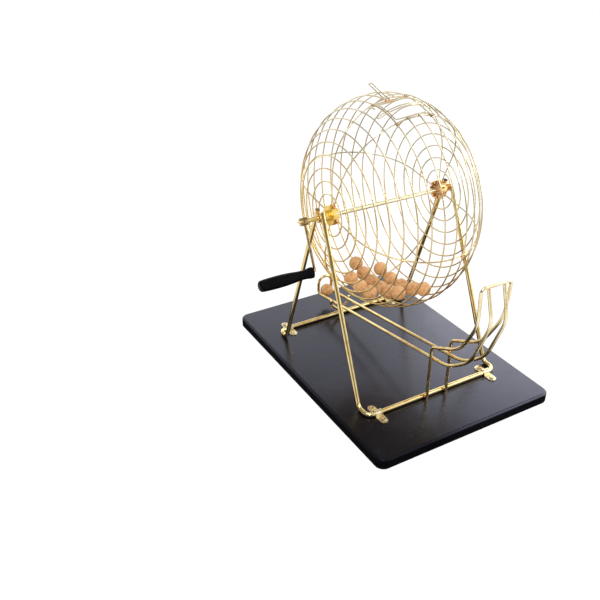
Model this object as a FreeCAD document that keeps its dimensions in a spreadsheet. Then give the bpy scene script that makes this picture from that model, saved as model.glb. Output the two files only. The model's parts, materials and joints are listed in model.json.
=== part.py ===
import FreeCAD, Part

import math
import os

from FreeCAD import Placement, Rotation, Vector
from Sketcher import Constraint

# Raffle drum with crank: a ball cage of brass wire on an axle, turned by a crank between two
# bent-rod stands on a lacquered board, with a wire scoop in front and a wire chute below.
#
# Frame: origin at the middle of the board's underside, X along the axle (the crank is at -X),
# +Y to the rear, +Z up. Angles round the axle run from +Y (rear) towards +Z (up), so the
# top of the cage is at 90 degrees and its front at 180. Sizes are in millimetres and degrees.

DIMENSIONS = (
    ("board_width", 225.0, "board, left to right"),
    ("board_depth", 312.0, "board, front to rear"),
    ("board_height", 13.0, "board thickness"),
    ("board_corner", 10.0, "radius of the board's upright corners"),
    ("board_edge", 2.5, "rounding of the board's top and bottom edges"),
    ("weld_gap", 0.02, "play left between two brazed wires"),
    ("butt_gap", 0.15, "play left where a wire's square end meets another wire aslant"),
    ("running_gap", 0.05, "radial clearance of a shaft in its bearing"),
    ("free_gap", 0.35, "clearance between pieces that pass each other"),
    ("axle_y", 11.3, "axle behind the board's middle"),
    ("axle_z", 198.2, "axle above the table"),
    ("axle_diameter", 4.5, "axle rod"),
    ("axle_right_overhang", 3.8, "axle past the right bearing"),
    ("bearing_standoff", 8.2, "near end of each bearing sleeve beyond the cage's end rings"),
    ("bearing_length", 8.0, "bearing sleeve"),
    ("bearing_wall", 2.4, "wall of the bearing sleeve"),
    ("stand_diameter", 5.0, "stand rod"),
    ("leg_splay", 2.8, "stand rod's corners outside the middles of the bearings"),
    ("front_bar_y", 94.5, "front bar ahead of the middle"),
    ("rear_bar_y", 96.0, "rear bar behind the middle"),
    ("front_foot", 17.5, "run of the front foot back to its knee"),
    ("rear_foot", 16.0, "run of the rear foot forward to its knee"),
    ("stand_bend", 8.0, "centreline radius of the stand's bends"),
    ("leg_overrun", 5.0, "leg above the place where it touches its bearing"),
    ("clip_inset", 12.5, "saddle clips inward of the stand rod's corners"),
    ("clip_width", 9.0, "saddle clip along its bar"),
    ("clip_reach", 15.5, "saddle clip's ear ends from the bar's centre"),
    ("clip_sheet", 1.0, "sheet thickness of the clips"),
    ("clip_play", 0.05, "clearance between clip and bar"),
    ("screw_reach", 10.6, "screws from the bar's centre"),
    ("screw_head", 6.0, "screw head diameter"),
    ("screw_crown", 4.4, "flat on top of the screw head"),
    ("screw_head_height", 1.5, "screw head height"),
    ("screw_shank", 2.6, "screw shank diameter"),
    ("screw_length", 10.0, "shank below the head"),
    ("screw_slot", 0.8, "width of the cross recess"),
    ("screw_slot_depth", 0.9, "depth of the cross recess"),
    ("screw_slot_span", 3.4, "span of the cross recess"),
    ("wire_diameter", 3.5, "wire of the scoop and the chute"),
    ("scoop_knee_z", 80.0, "top of the scoop's uprights"),
    ("scoop_belly_y", 140.0, "scoop's lower belly ahead of the middle"),
    ("scoop_belly_z", 101.0, "scoop's lower belly above the table"),
    ("scoop_breast_y", 161.5, "scoop's upper belly ahead of the middle"),
    ("scoop_breast_z", 141.0, "scoop's upper belly above the table"),
    ("scoop_breast_half", 16.0, "half width of the scoop at the upper belly"),
    ("scoop_top_y", 162.0, "scoop's top bar ahead of the middle"),
    ("scoop_top_z", 181.5, "scoop's top bar above the table"),
    ("scoop_top_half", 18.3, "half length of the scoop's top bar"),
    ("scoop_knee_bend", 8.0, "bend at the top of the uprights"),
    ("scoop_sweep_bend", 50.0, "long bends of the scoop"),
    ("scoop_corner_bend", 4.5, "bends at the ends of the top bar"),
    ("chute_breast_y", 172.0, "chute wire's upper belly ahead of the middle"),
    ("chute_breast_z", 146.0, "chute wire's upper belly above the table"),
    ("chute_breast_bend", 30.0, "bend of the upper belly"),
    ("chute_belly_y", 152.0, "chute wire's lower belly ahead of the middle"),
    ("chute_belly_z", 92.0, "chute wire's lower belly above the table"),
    ("chute_heel_y", 122.0, "front end of the rails ahead of the middle"),
    ("chute_rise", 0.16, "rise of the rails for each unit forward"),
    ("arch_y", 132.8, "arch behind the middle"),
    ("arch_foot_z", 27.8, "rails above the table at the arch"),
    ("arch_top_z", 50.6, "arch's top above the table"),
    ("arch_bend", 8.5, "bends at the arch's shoulders"),
    ("arch_foot_bend", 4.5, "bends where the rails turn up into the arch"),
    ("rest_height", 16.4, "rear rest's arms above its foot"),
    ("rest_bend", 4.0, "bends of the rear rest"),
    ("cage_radius", 113.6, "cage from the axle to the middle ring's wire centre"),
    ("rim_radius", 71.0, "half-round rim of the cage, which is also half its width"),
    ("ring_count", 21, "rings of the cage"),
    ("first_ring_radius", 22.0, "radius of the first ring at each end"),
    ("ring_wire", 1.5, "wire of the rings"),
    ("meridian_wire", 1.5, "wire of the meridians"),
    ("hatch_start", 90.0, "angle of the meridian behind the hatch"),
    ("hatch_end", 112.0, "angle of the meridian ahead of the hatch"),
    ("hatch_overlap", 0.2, "angle by which a cut ring passes its meridian"),
    ("hub_diameter", 21.0, "drum hub's cup"),
    ("hub_length", 7.0, "drum hub's cup along the axle"),
    ("hub_recess", 2.6, "depth of the hollow in the cup's face"),
    ("hub_recess_diameter", 14.0, "hollow in the cup's face"),
    ("boss_diameter", 11.0, "boss outside the cup"),
    ("hub_floor", 4.0, "radius at which each slot of the cup ends"),
    ("hub_web", 1.2, "wall of the cup that the slots leave"),
    ("hinge_wire", 1.5, "hatch hinge rod"),
    ("hinge_offset", 1.35, "angle from the rear meridian to the hinge rod"),
    ("hinge_overhang", 1.4, "hinge rod past its two rings"),
    ("hinge_tail", 9.0, "hinge rod's bent tail"),
    ("hinge_bend", 2.5, "bend of the hinge rod's tail"),
    ("sleeve_diameter", 2.7, "hatch sleeve outside"),
    ("door_wire", 1.2, "wire of the hatch door and its lever"),
    ("door_side_gap", 0.35, "door's side bars from the rings beside them"),
    ("door_lap", 1.5, "angle from the front meridian to the door's front bar"),
    ("door_bend", 1.6, "bends at the door's corners"),
    ("latch_angle", 103.0, "angle of the door's latch bar"),
    ("latch_spacing", 1.6, "angle between the latch bar's two strands"),
    ("latch_overhang", 10.2, "latch bar past the left ring of the hatch"),
    ("latch_gap", 0.55, "latch bar above the ring that it rests on"),
    ("latch_drop", 0.25, "play left between the latch bar and the door's side bars"),
    ("lever_x", -6.7, "finger lever along the axle"),
    ("lever_width", 4.0, "finger lever's two strands, centre to centre"),
    ("lever_length", 36.5, "finger lever from the hinge rod"),
    ("lever_slope", 16.3, "finger lever's climb towards the rear"),
    ("crank_standoff", 14.3, "crank arm beyond the left bearing's far end"),
    ("crank_radius", 52.2, "axle to grip, centre to centre"),
    ("crank_lean", 24.8, "crank arm forward of straight down"),
    ("crank_diameter", 3.0, "crank arm's rod"),
    ("crank_bend", 3.0, "bend between arm and pin"),
    ("collar_diameter", 8.4, "crank collar on the axle"),
    ("collar_length", 7.0, "crank collar along the axle"),
    ("axle_left_overhang", 1.2, "axle past the crank collar"),
    ("cotter_offset", 2.2, "cotter pin outside the crank arm"),
    ("cotter_wire", 0.9, "cotter pin's wire"),
    ("cotter_head", 3.4, "cotter pin's eye beyond the collar"),
    ("cotter_eye_width", 3.4, "cotter pin's eye, centre to centre"),
    ("cotter_tail_long", 7.5, "longer splayed tail"),
    ("cotter_tail_short", 3.0, "shorter splayed tail"),
    ("grip_length", 60.5, "grip"),
    ("grip_collar", 11.6, "grip diameter at its collar"),
    ("grip_collar_length", 3.0, "grip's collar"),
    ("grip_neck", 9.9, "grip diameter at its neck"),
    ("grip_neck_reach", 8.5, "neck from the collar's face"),
    ("grip_swell", 11.6, "grip diameter where it swells"),
    ("grip_swell_reach", 24.0, "swelling from the collar's face"),
    ("grip_belly", 12.9, "largest diameter of the grip"),
    ("grip_belly_reach", 44.0, "largest diameter from the collar's face"),
    ("grip_tip", 11.8, "grip diameter at its end"),
    ("grip_round", 3.2, "rounding of the grip's end"),
    ("grip_wall", 8.0, "solid end of the grip beyond its bore"),
    ("bead_diameter", 4.4, "upset bead that keeps the grip on its pin"),
    ("bead_length", 1.6, "upset bead"),
    ("ball_diameter", 16.0, "wooden ball"),
    ("load_reach", 106.0, "balls keep inside this radius where the hatch passes"),
    ("load_lane_x", -9.0, "row of balls below the hatch"),
    ("load_lane_first", -66.0, "angle of that row's first ball"),
    ("load_lane_step", -10.0, "angle from ball to ball in that row"),
    ("load_lane_count", 6, "balls in that row"),
    ("load_side_x", 16.5, "row of balls to the right"),
    ("load_side_first", -75.0, "angle of the right row's first ball"),
    ("load_side_step", -11.8, "angle from ball to ball in the right row"),
    ("load_side_count", 5, "balls in the right row"),
    ("load_end_x", -30.0, "row of balls to the left"),
    ("load_end_first", -79.0, "angle of the left row's first ball"),
    ("load_end_step", -11.5, "angle from ball to ball in the left row"),
    ("load_end_count", 3, "balls in the left row"),
)

# Places that follow from the sizes above: the sheet's name, its formula and what it means.
PLACES = (
    (
        "bearing_x",
        "=rim_radius + bearing_standoff + bearing_length / 2",
        "middle of each bearing sleeve from the board's middle",
    ),
    ("stand_corner_x", "=bearing_x + leg_splay", "stand rod's corners from the middle"),
    ("clip_x", "=stand_corner_x - clip_inset", "saddle clips from the middle"),
    (
        "crank_x",
        "=bearing_x + bearing_length / 2 + crank_standoff",
        "crank arm left of the middle",
    ),
    ("cotter_x", "=crank_x + cotter_offset", "cotter pin left of the middle"),
)

# Rings between which the hatch lies, counted from the left; the rings between them are cut.
HATCH_RINGS = (8, 11)

# Angles of the meridian wires that run from hub to hub, apart from the hatch's two.
OTHER_MERIDIANS = (10.0, 190.0, 283.0)

# Angles of the hub's slots that hold no wire.
SPARE_SLOTS = (50.0, 150.0, 236.0, 324.0)

# Rows of balls that lie in the cage: the sheet's names for the row's place, the angle of its
# first ball, the angle from ball to ball and how many there are.
BALL_ROWS = (
    ("load_lane_x", "load_lane_first", "load_lane_step", "load_lane_count"),
    ("load_side_x", "load_side_first", "load_side_step", "load_side_count"),
    ("load_end_x", "load_end_first", "load_end_step", "load_end_count"),
)

QUARTER_TURN = 90.0
FULL_TURN = 360.0

ALONG_X = Rotation(Vector(0, 1, 0), QUARTER_TURN)

# Length in millimetres below which an edge counts as level or upright.
FLAT_ENOUGH = 1e-6

# Straight runs that each bar of the hatch door is bent from.
DOOR_STEPS = 4

doc = FreeCAD.newDocument("raffle_drum")
sheet = doc.addObject("Spreadsheet::Sheet", "dims")
for row, (alias, content, meaning) in enumerate(DIMENSIONS + PLACES, start=1):
    sheet.set(f"A{row}", meaning)
    sheet.set(f"B{row}", str(content))
    sheet.setAlias(f"B{row}", alias)
doc.recompute()

pieces = []


def size(alias):
    """Value of one cell of the sheet."""
    return float(sheet.get(alias))


def bind(thing, expressions):
    """Tie properties of an object to the sheet."""
    for prop, expression in expressions.items():
        thing.setExpression(prop, expression)
    return thing


def make(kind, name, expressions):
    """New object of a kind with its sizes tied to the sheet."""
    return bind(doc.addObject(kind, name), expressions)


def keep(thing, label):
    """Name a finished piece and put it on the list that is written out."""
    thing.Label = label
    pieces.append(thing)
    return thing


def at_axle(thing, along="0"):
    """Place a piece that is made round the axle's own centre line."""
    return bind(thing, {
        "Placement.Base.x": along,
        "Placement.Base.y": "dims.axle_y",
        "Placement.Base.z": "dims.axle_z",
    })


def cut(name, base, tools):
    """Base less its tools, which are fused first when there are several."""
    tool = tools[0]
    if len(tools) > 1:
        tool = doc.addObject("Part::MultiFuse", name + "_tools")
        tool.Shapes = tools
    result = doc.addObject("Part::Cut", name)
    result.Base = base
    result.Tool = tool
    return result


def fuse(name, shapes):
    """Several shapes as one solid."""
    result = doc.addObject("Part::MultiFuse", name)
    result.Shapes = shapes
    return result


def bent_wire(points, bends):
    """Straight runs joined by tangent arcs, with one bend radius for each inner point."""
    edges = []
    start = points[0]
    for before, corner, after, bend in zip(points, points[1:], points[2:], bends):
        back = (before - corner).normalize()
        ahead = (after - corner).normalize()
        half = back.getAngle(ahead) / 2
        setback = bend / math.tan(half)
        middle = corner + (back + ahead).normalize() * (bend / math.sin(half) - bend)
        edges.append(Part.LineSegment(start, corner + back * setback).toShape())
        edges.append(Part.Arc(corner + back * setback, middle, corner + ahead * setback).toShape())
        start = corner + ahead * setback
    edges.append(Part.LineSegment(start, points[-1]).toShape())
    return Part.Wire(edges)


def add_rod(name, centreline, diameter):
    """Round rod along a centreline; its diameter is the sheet's."""
    path = doc.addObject("Part::Feature", name + "_path")
    path.Shape = centreline
    first = centreline.Edges[0]
    section = make("Part::Circle", name + "_section", {"Radius": f"dims.{diameter} / 2"})
    section.Placement = Placement(
        first.valueAt(first.FirstParameter),
        Rotation(Vector(0, 0, 1), first.tangentAt(first.FirstParameter)),
    )
    rod = doc.addObject("Part::Sweep", name)
    rod.Sections = [section]
    rod.Spine = (path, [f"Edge{i + 1}" for i in range(len(centreline.Edges))])
    rod.Solid = True
    rod.Frenet = False
    return rod


def mirrored(points):
    """Points of the left half followed by their mirror images, back to front."""
    return points + [Vector(-p.x, p.y, p.z) for p in reversed(points)]


def doubled(bends):
    """Bends of the left half followed by the same ones, back to front."""
    return bends + bends[::-1]


def outline_sketch(body, name, plane_role):
    """Empty sketch on one of a body's own origin planes."""
    sketch = body.newObject("Sketcher::SketchObject", name)
    plane = next(f for f in body.Origin.OriginFeatures if f.Role == plane_role)
    sketch.AttachmentSupport = [(plane, "")]
    sketch.MapMode = "FlatFace"
    return sketch


def centred_rectangle(body, name, width, depth):
    """Sketch of a rectangle round the body's origin, its sides tied to the sheet."""
    sketch = outline_sketch(body, name, "XY_Plane")
    corners = [Vector(-1, -1, 0), Vector(1, -1, 0), Vector(1, 1, 0), Vector(-1, 1, 0)]
    for start, end in zip(corners, corners[1:] + corners[:1]):
        sketch.addGeometry(Part.LineSegment(start, end), False)
    for side in range(4):
        sketch.addConstraint(Constraint("Coincident", side, 2, (side + 1) % 4, 1))
    for side in (0, 2):
        sketch.addConstraint(Constraint("Horizontal", side))
        sketch.addConstraint(Constraint("Vertical", side + 1))
    sketch.addConstraint(Constraint("Symmetric", 0, 1, 1, 2, -1, 1))
    across = sketch.addConstraint(Constraint("DistanceX", 0, 1, 0, 2, 2.0))
    along = sketch.addConstraint(Constraint("DistanceY", 1, 1, 1, 2, 2.0))
    sketch.renameConstraint(across, "width")
    sketch.renameConstraint(along, "depth")
    return bind(sketch, {"Constraints.width": width, "Constraints.depth": depth})


def feature(body, kind, name, sketch, expressions):
    """PartDesign feature made from a sketch, with its sizes tied to the sheet."""
    step = body.newObject("PartDesign::" + kind, name)
    step.Profile = sketch
    bind(step, expressions)
    doc.recompute()
    return step


def round_edges(body, name, base, radius, wanted):
    """Fillet on the edges of a feature for which wanted(edge) holds."""
    names = [f"Edge{i}" for i, edge in enumerate(base.Shape.Edges, start=1) if wanted(edge)]
    fillet = body.newObject("PartDesign::Fillet", name)
    fillet.Base = (base, names)
    bind(fillet, {"Radius": radius})
    doc.recompute()
    return fillet


def upright(edge):
    """Whether an edge runs straight up."""
    return edge.BoundBox.XLength + edge.BoundBox.YLength < FLAT_ENOUGH


def level_at(height):
    """Test for edges that lie wholly at one height."""
    def test(edge):
        box = edge.BoundBox
        return abs(box.ZMin - height) < FLAT_ENOUGH and abs(box.ZMax - height) < FLAT_ENOUGH
    return test


def bar_y(side):
    """Place of the front (-1) or rear (+1) bar, front to rear."""
    return -size("front_bar_y") if side < 0 else size("rear_bar_y")


def clip_places():
    """Centres of the four saddle clips and their names."""
    return {
        f"{row_name}_{hand}_clip": (hand_sign * size("clip_x"), bar_y(row_sign))
        for row_name, row_sign in (("front", -1), ("rear", 1))
        for hand, hand_sign in (("left", -1), ("right", 1))
    }


def screw_places():
    """Centres of the eight screws, two to a clip."""
    return [
        (x, y + side * size("screw_reach"))
        for x, y in clip_places().values()
        for side in (-1, 1)
    ]


def base_board():
    """Board with rounded corners and edges, and a pilot hole under each screw."""
    body = doc.addObject("PartDesign::Body", "base_board")
    outline = centred_rectangle(body, "board_outline", "dims.board_width", "dims.board_depth")
    slab = feature(body, "Pad", "board_slab", outline, {"Length": "dims.board_height"})
    corners = round_edges(body, "board_corners", slab, "dims.board_corner", upright)
    top = level_at(size("board_height"))
    bottom = level_at(0.0)
    rims = round_edges(
        body, "board_rims", corners, "dims.board_edge", lambda edge: top(edge) or bottom(edge),
    )
    holes = outline_sketch(body, "pilot_holes_outline", "XY_Plane")
    bind(holes, {"AttachmentOffset.Base.z": "dims.board_height"})
    for index, (x, y) in enumerate(screw_places()):
        radius = size("screw_shank") / 2 + size("running_gap")
        holes.addGeometry(Part.Circle(Vector(x, y, 0), Vector(0, 0, 1), radius), False)
        holes.addConstraint(Constraint("Radius", index, radius))
    doc.recompute()
    pilot = feature(body, "Pocket", "pilot_holes", holes, {
        "Length": "dims.screw_length + dims.free_gap",
    })
    body.Tip = pilot
    if pilot.Shape.Volume >= rims.Shape.Volume:
        raise ValueError("the pilot holes cut nothing")
    return keep(body, "base_board")


def leg_top(side, knee):
    """Top end of a leg, which touches the sleeve on its own side and runs on past it."""
    sleeve = size("axle_diameter") / 2 + size("running_gap") + size("bearing_wall")
    reach = sleeve + size("stand_diameter") / 2 + size("weld_gap")
    span_y = size("axle_y") - knee.y
    span_z = size("axle_z") - knee.z
    distance = math.hypot(span_y, span_z)
    heading = math.atan2(span_z, span_y) - side * math.asin(reach / distance)
    run = math.sqrt(distance ** 2 - reach ** 2) + size("leg_overrun")
    lean = (size("stand_corner_x") - size("bearing_x")) / run
    return Vector(
        knee.x + lean * run,
        knee.y + run * math.cos(heading),
        knee.z + run * math.sin(heading),
    )


def stand_rod(name, side, foot):
    """Rod bent into two legs, two feet and the bar between them."""
    height = size("board_height") + size("stand_diameter") / 2
    bar = bar_y(side)
    knee = Vector(-size("stand_corner_x"), bar - side * size(foot), height)
    corner = Vector(-size("stand_corner_x"), bar, height)
    points = mirrored([leg_top(side, knee), knee, corner])
    bends = [size("stand_bend")] * 4
    return keep(add_rod(name, bent_wire(points, bends), "stand_diameter"), name)


def bearing(name, side):
    """Sleeve in which the axle turns."""
    outer = make("Part::Cylinder", name + "_outside", {
        "Radius": "dims.axle_diameter / 2 + dims.running_gap + dims.bearing_wall",
        "Height": "dims.bearing_length",
    })
    bore = make("Part::Cylinder", name + "_bore", {
        "Radius": "dims.axle_diameter / 2 + dims.running_gap",
        "Height": "dims.bearing_length",
    })
    sleeve = cut(name, outer, [bore])
    sleeve.Placement = Placement(Vector(), ALONG_X)
    at_axle(sleeve, f"{side} * dims.bearing_x - dims.bearing_length / 2")
    return keep(sleeve, name)


def saddle_clip(name, x, y):
    """Sheet strap over a bar, with an ear for a screw on each side."""
    ears = make("Part::Box", name + "_ears", {
        "Length": "dims.clip_width",
        "Width": "2 * dims.clip_reach",
        "Height": "dims.clip_sheet",
        "Placement.Base.x": "-dims.clip_width / 2",
        "Placement.Base.y": "-dims.clip_reach",
    })
    rounded = doc.addObject("Part::Fillet", name + "_round_ears")
    rounded.Base = ears
    doc.recompute()
    end_radius = size("clip_width") / 2 - size("running_gap")
    rounded.Edges = [
        (i, end_radius, end_radius) for i, e in enumerate(ears.Shape.Edges, start=1) if upright(e)
    ]
    shells = []
    for part_name, extra, length in (("outside", " + dims.clip_sheet", 1), ("inside", "", 2)):
        radius = f"dims.stand_diameter / 2 + dims.clip_play{extra}"
        tube = make("Part::Cylinder", f"{name}_{part_name}_round", {
            "Radius": radius,
            "Height": f"{length} * dims.clip_width",
            "Placement.Base.x": f"-{length} * dims.clip_width / 2",
            "Placement.Base.z": "dims.stand_diameter / 2",
        })
        tube.Placement = Placement(Vector(), ALONG_X)
        cheeks = make("Part::Box", f"{name}_{part_name}_cheeks", {
            "Length": f"{length} * dims.clip_width",
            "Width": f"2 * ({radius})",
            "Height": f"{length} * dims.stand_diameter / 2",
            "Placement.Base.x": f"-{length} * dims.clip_width / 2",
            "Placement.Base.y": f"-({radius})",
            "Placement.Base.z": f"-({length} - 1) * dims.stand_diameter / 2",
        })
        shells.append(fuse(f"{name}_{part_name}", [tube, cheeks]))
    strap = fuse(name + "_strap", [rounded, shells[0]])
    holes = [
        make("Part::Cylinder", f"{name}_hole_{hand}", {
            "Radius": "dims.screw_shank / 2 + dims.running_gap",
            "Height": "dims.clip_sheet",
            "Placement.Base.y": f"{sign} * dims.screw_reach",
        })
        for hand, sign in (("front", -1), ("rear", 1))
    ]
    below = make("Part::Box", name + "_below", {
        "Length": "2 * dims.clip_width",
        "Width": "2 * dims.clip_reach",
        "Height": "dims.stand_diameter",
        "Placement.Base.x": "-dims.clip_width",
        "Placement.Base.y": "-dims.clip_reach",
        "Placement.Base.z": "-dims.stand_diameter",
    })
    clip = cut(name, strap, [shells[1], below] + holes)
    clip.Placement = Placement(Vector(x, y, size("board_height")), Rotation())
    return keep(clip, name)


def clip_screw(name):
    """Pan-head wood screw with a cross recess, its head's underside at the origin."""
    head = make("Part::Cone", name + "_head", {
        "Radius1": "dims.screw_head / 2",
        "Radius2": "dims.screw_crown / 2",
        "Height": "dims.screw_head_height",
    })
    shank = make("Part::Cylinder", name + "_shank", {
        "Radius": "dims.screw_shank / 2",
        "Height": "dims.screw_length",
        "Placement.Base.z": "-dims.screw_length",
    })
    slots = [
        make("Part::Box", f"{name}_slot_{axis}", {
            "Length": f"dims.{length}",
            "Width": f"dims.{width}",
            "Height": "dims.screw_slot_depth",
            "Placement.Base.x": f"-dims.{length} / 2",
            "Placement.Base.y": f"-dims.{width} / 2",
            "Placement.Base.z": "dims.screw_head_height - dims.screw_slot_depth",
        })
        for axis, length, width in (
            ("across", "screw_slot_span", "screw_slot"),
            ("along", "screw_slot", "screw_slot_span"),
        )
    ]
    return cut(name, fuse(name + "_solid", [head, shank]), slots)


def clip_screws():
    """The eight screws, as one group of separate solids."""
    height = size("board_height") + size("clip_sheet")
    screws = []
    for index, (x, y) in enumerate(screw_places(), start=1):
        screw = clip_screw(f"clip_screw_{index}")
        screw.Placement = Placement(Vector(x, y, height), Rotation())
        screws.append(screw)
    group = doc.addObject("Part::Compound", "clip_screws")
    group.Links = screws
    return keep(group, "clip_screws")


def upright_half():
    """Half the distance between the scoop's uprights: they hold the rails between them."""
    return rail_half() + size("wire_diameter") + size("weld_gap")


def rail_half():
    """Half the distance between the rails, on which the ball rides without falling through."""
    return size("ball_diameter") / 2 + size("wire_diameter") / 2 - size("free_gap")


def rail_z(y):
    """Height of the rails' centres at a place along them."""
    return size("arch_foot_z") + (size("arch_y") - y) * size("chute_rise")


def scoop_y():
    """Uprights' place: they stand against the front bar."""
    touching = (size("stand_diameter") + size("wire_diameter")) / 2 + size("weld_gap")
    return -size("front_bar_y") - touching


def chute_wire():
    """One wire: the scoop's inner strand, a rail, the arch and the same back again."""
    half = rail_half()
    end_z = size("scoop_top_z") - size("wire_diameter") / 2 - size("butt_gap")
    heel = -size("chute_heel_y")
    left = [
        Vector(-half, -size("scoop_top_y"), end_z),
        Vector(-half, -size("chute_breast_y"), size("chute_breast_z")),
        Vector(-half, -size("chute_belly_y"), size("chute_belly_z")),
        Vector(-half, heel, rail_z(heel)),
        Vector(-half, size("arch_y"), size("arch_foot_z")),
        Vector(-half, size("arch_y"), size("arch_top_z")),
    ]
    bends = [
        size("chute_breast_bend"),
        size("scoop_sweep_bend"),
        size("scoop_sweep_bend"),
        size("arch_foot_bend"),
        size("arch_bend"),
    ]
    centreline = bent_wire(mirrored(left), doubled(bends))
    return keep(add_rod("chute_wire", centreline, "wire_diameter"), "chute_wire")


def scoop_wire():
    """Outer loop of the scoop on its two uprights."""
    half = upright_half()
    left = [
        Vector(-half, scoop_y(), size("board_height") + size("weld_gap")),
        Vector(-half, scoop_y(), size("scoop_knee_z")),
        Vector(-half, -size("scoop_belly_y"), size("scoop_belly_z")),
        Vector(-size("scoop_breast_half"), -size("scoop_breast_y"), size("scoop_breast_z")),
        Vector(-size("scoop_top_half"), -size("scoop_top_y"), size("scoop_top_z")),
    ]
    bends = [
        size("scoop_knee_bend"),
        size("scoop_sweep_bend"),
        size("scoop_sweep_bend"),
        size("scoop_corner_bend"),
    ]
    centreline = bent_wire(mirrored(left), doubled(bends))
    return keep(add_rod("scoop_wire", centreline, "wire_diameter"), "scoop_wire")


def rear_chute_rest():
    """V of wire on the rear bar, its arms against the outsides of the rails."""
    half = upright_half()
    touching = (size("stand_diameter") + size("wire_diameter")) / 2 + size("weld_gap")
    foot_z = size("board_height") + size("stand_diameter") / 2 + touching
    y = size("rear_bar_y")
    left = [
        Vector(-half, y, foot_z + size("rest_height")),
        Vector(-half, y, rail_z(y) - size("wire_diameter")),
        Vector(-size("rest_bend") / 2, y, foot_z),
    ]
    bends = doubled([size("rest_bend"), size("rest_bend") / 2])
    centreline = bent_wire(mirrored(left), bends)
    return keep(add_rod("rear_chute_rest", centreline, "wire_diameter"), "rear_chute_rest")


def cage_flat():
    """Radius of the cage's flat ends, where the half-round rim begins."""
    return size("cage_radius") - size("rim_radius")


def profile_radius(x):
    """Radius of the cage's rim at a place along the axle."""
    return cage_flat() + math.sqrt(size("rim_radius") ** 2 - x ** 2)


def around(x, angle, radius):
    """Point in the axle's own frame at an angle and a radius."""
    turn = math.radians(angle)
    return Vector(x, radius * math.cos(turn), radius * math.sin(turn))


def ring_expressions(index):
    """Radius and place of a ring, as expressions on the sheet.

    The rings are evenly spaced along the cage's outline, from the first ring on one flat end,
    over the rim, to the last ring on the other; the middle ring is the largest.
    """
    last = int(size("ring_count")) - 1
    inward = min(index, last - index)
    side = -1 if 2 * index < last else 1
    flat = "(dims.cage_radius - dims.rim_radius)"
    quarter = f"({flat} + dims.rim_radius * pi / 2)"
    pitch = f"(2 * ({quarter} - dims.first_ring_radius) / (dims.ring_count - 1))"
    travel = f"(dims.first_ring_radius + {inward} * {pitch})"
    turn = f"(({travel} - {flat}) / dims.rim_radius * 1 rad)"
    radius = f"{travel} < {flat} ? {travel} : {flat} + dims.rim_radius * sin({turn})"
    place = f"{side} * ({travel} < {flat} ? dims.rim_radius : dims.rim_radius * cos({turn}))"
    return radius, place


def ring_x(index):
    """Place of a ring along the axle, for rings on the rim."""
    middle = (size("ring_count") - 1) / 2
    quarter = cage_flat() + size("rim_radius") * math.pi / 2
    pitch = (quarter - size("first_ring_radius")) / middle
    return size("rim_radius") * math.sin((index - middle) * pitch / size("rim_radius"))


def cage_ring(index):
    """One ring of the cage; the rings at the hatch stop at its two meridians."""
    name = f"cage_ring_{index + 1:02d}"
    radius, place = ring_expressions(index)
    ring = make("Part::Torus", name, {"Radius1": radius, "Radius2": "dims.ring_wire / 2"})
    start = 0.0
    if HATCH_RINGS[0] < index < HATCH_RINGS[1]:
        start = size("hatch_end") - size("hatch_overlap")
        bind(ring, {
            "Angle3": "360 - dims.hatch_end + dims.hatch_start + 2 * dims.hatch_overlap",
        })
    ring.Placement = Placement(
        Vector(),
        Rotation(around(0, start, 1), around(0, start + QUARTER_TURN, 1), Vector(1, 0, 0)),
    )
    return keep(at_axle(ring, place), name)


def meridian_half():
    """Half the width of a meridian wire, which lies inside the rings and touches them."""
    return size("rim_radius") - (size("ring_wire") + size("meridian_wire")) / 2 - size("weld_gap")


def meridian(name, angle):
    """Wire from hub to hub along the cage's outline at one angle."""
    half = meridian_half()
    seat = size("hub_floor") + size("meridian_wire") / 2 + size("free_gap")
    flat = cage_flat()
    centreline = Part.Wire([
        Part.LineSegment(around(-half, angle, seat), around(-half, angle, flat)).toShape(),
        Part.Arc(
            around(-half, angle, flat), around(0, angle, flat + half), around(half, angle, flat),
        ).toShape(),
        Part.LineSegment(around(half, angle, flat), around(half, angle, seat)).toShape(),
    ])
    return keep(at_axle(add_rod(name, centreline, "meridian_wire")), name)


def cage_meridians():
    """The meridians: two at the hatch and the others round the cage."""
    meridian("hatch_rear_meridian", size("hatch_start"))
    meridian("hatch_front_meridian", size("hatch_end"))
    for index, angle in enumerate(OTHER_MERIDIANS, start=1):
        meridian(f"cage_meridian_{index}", angle)


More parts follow.
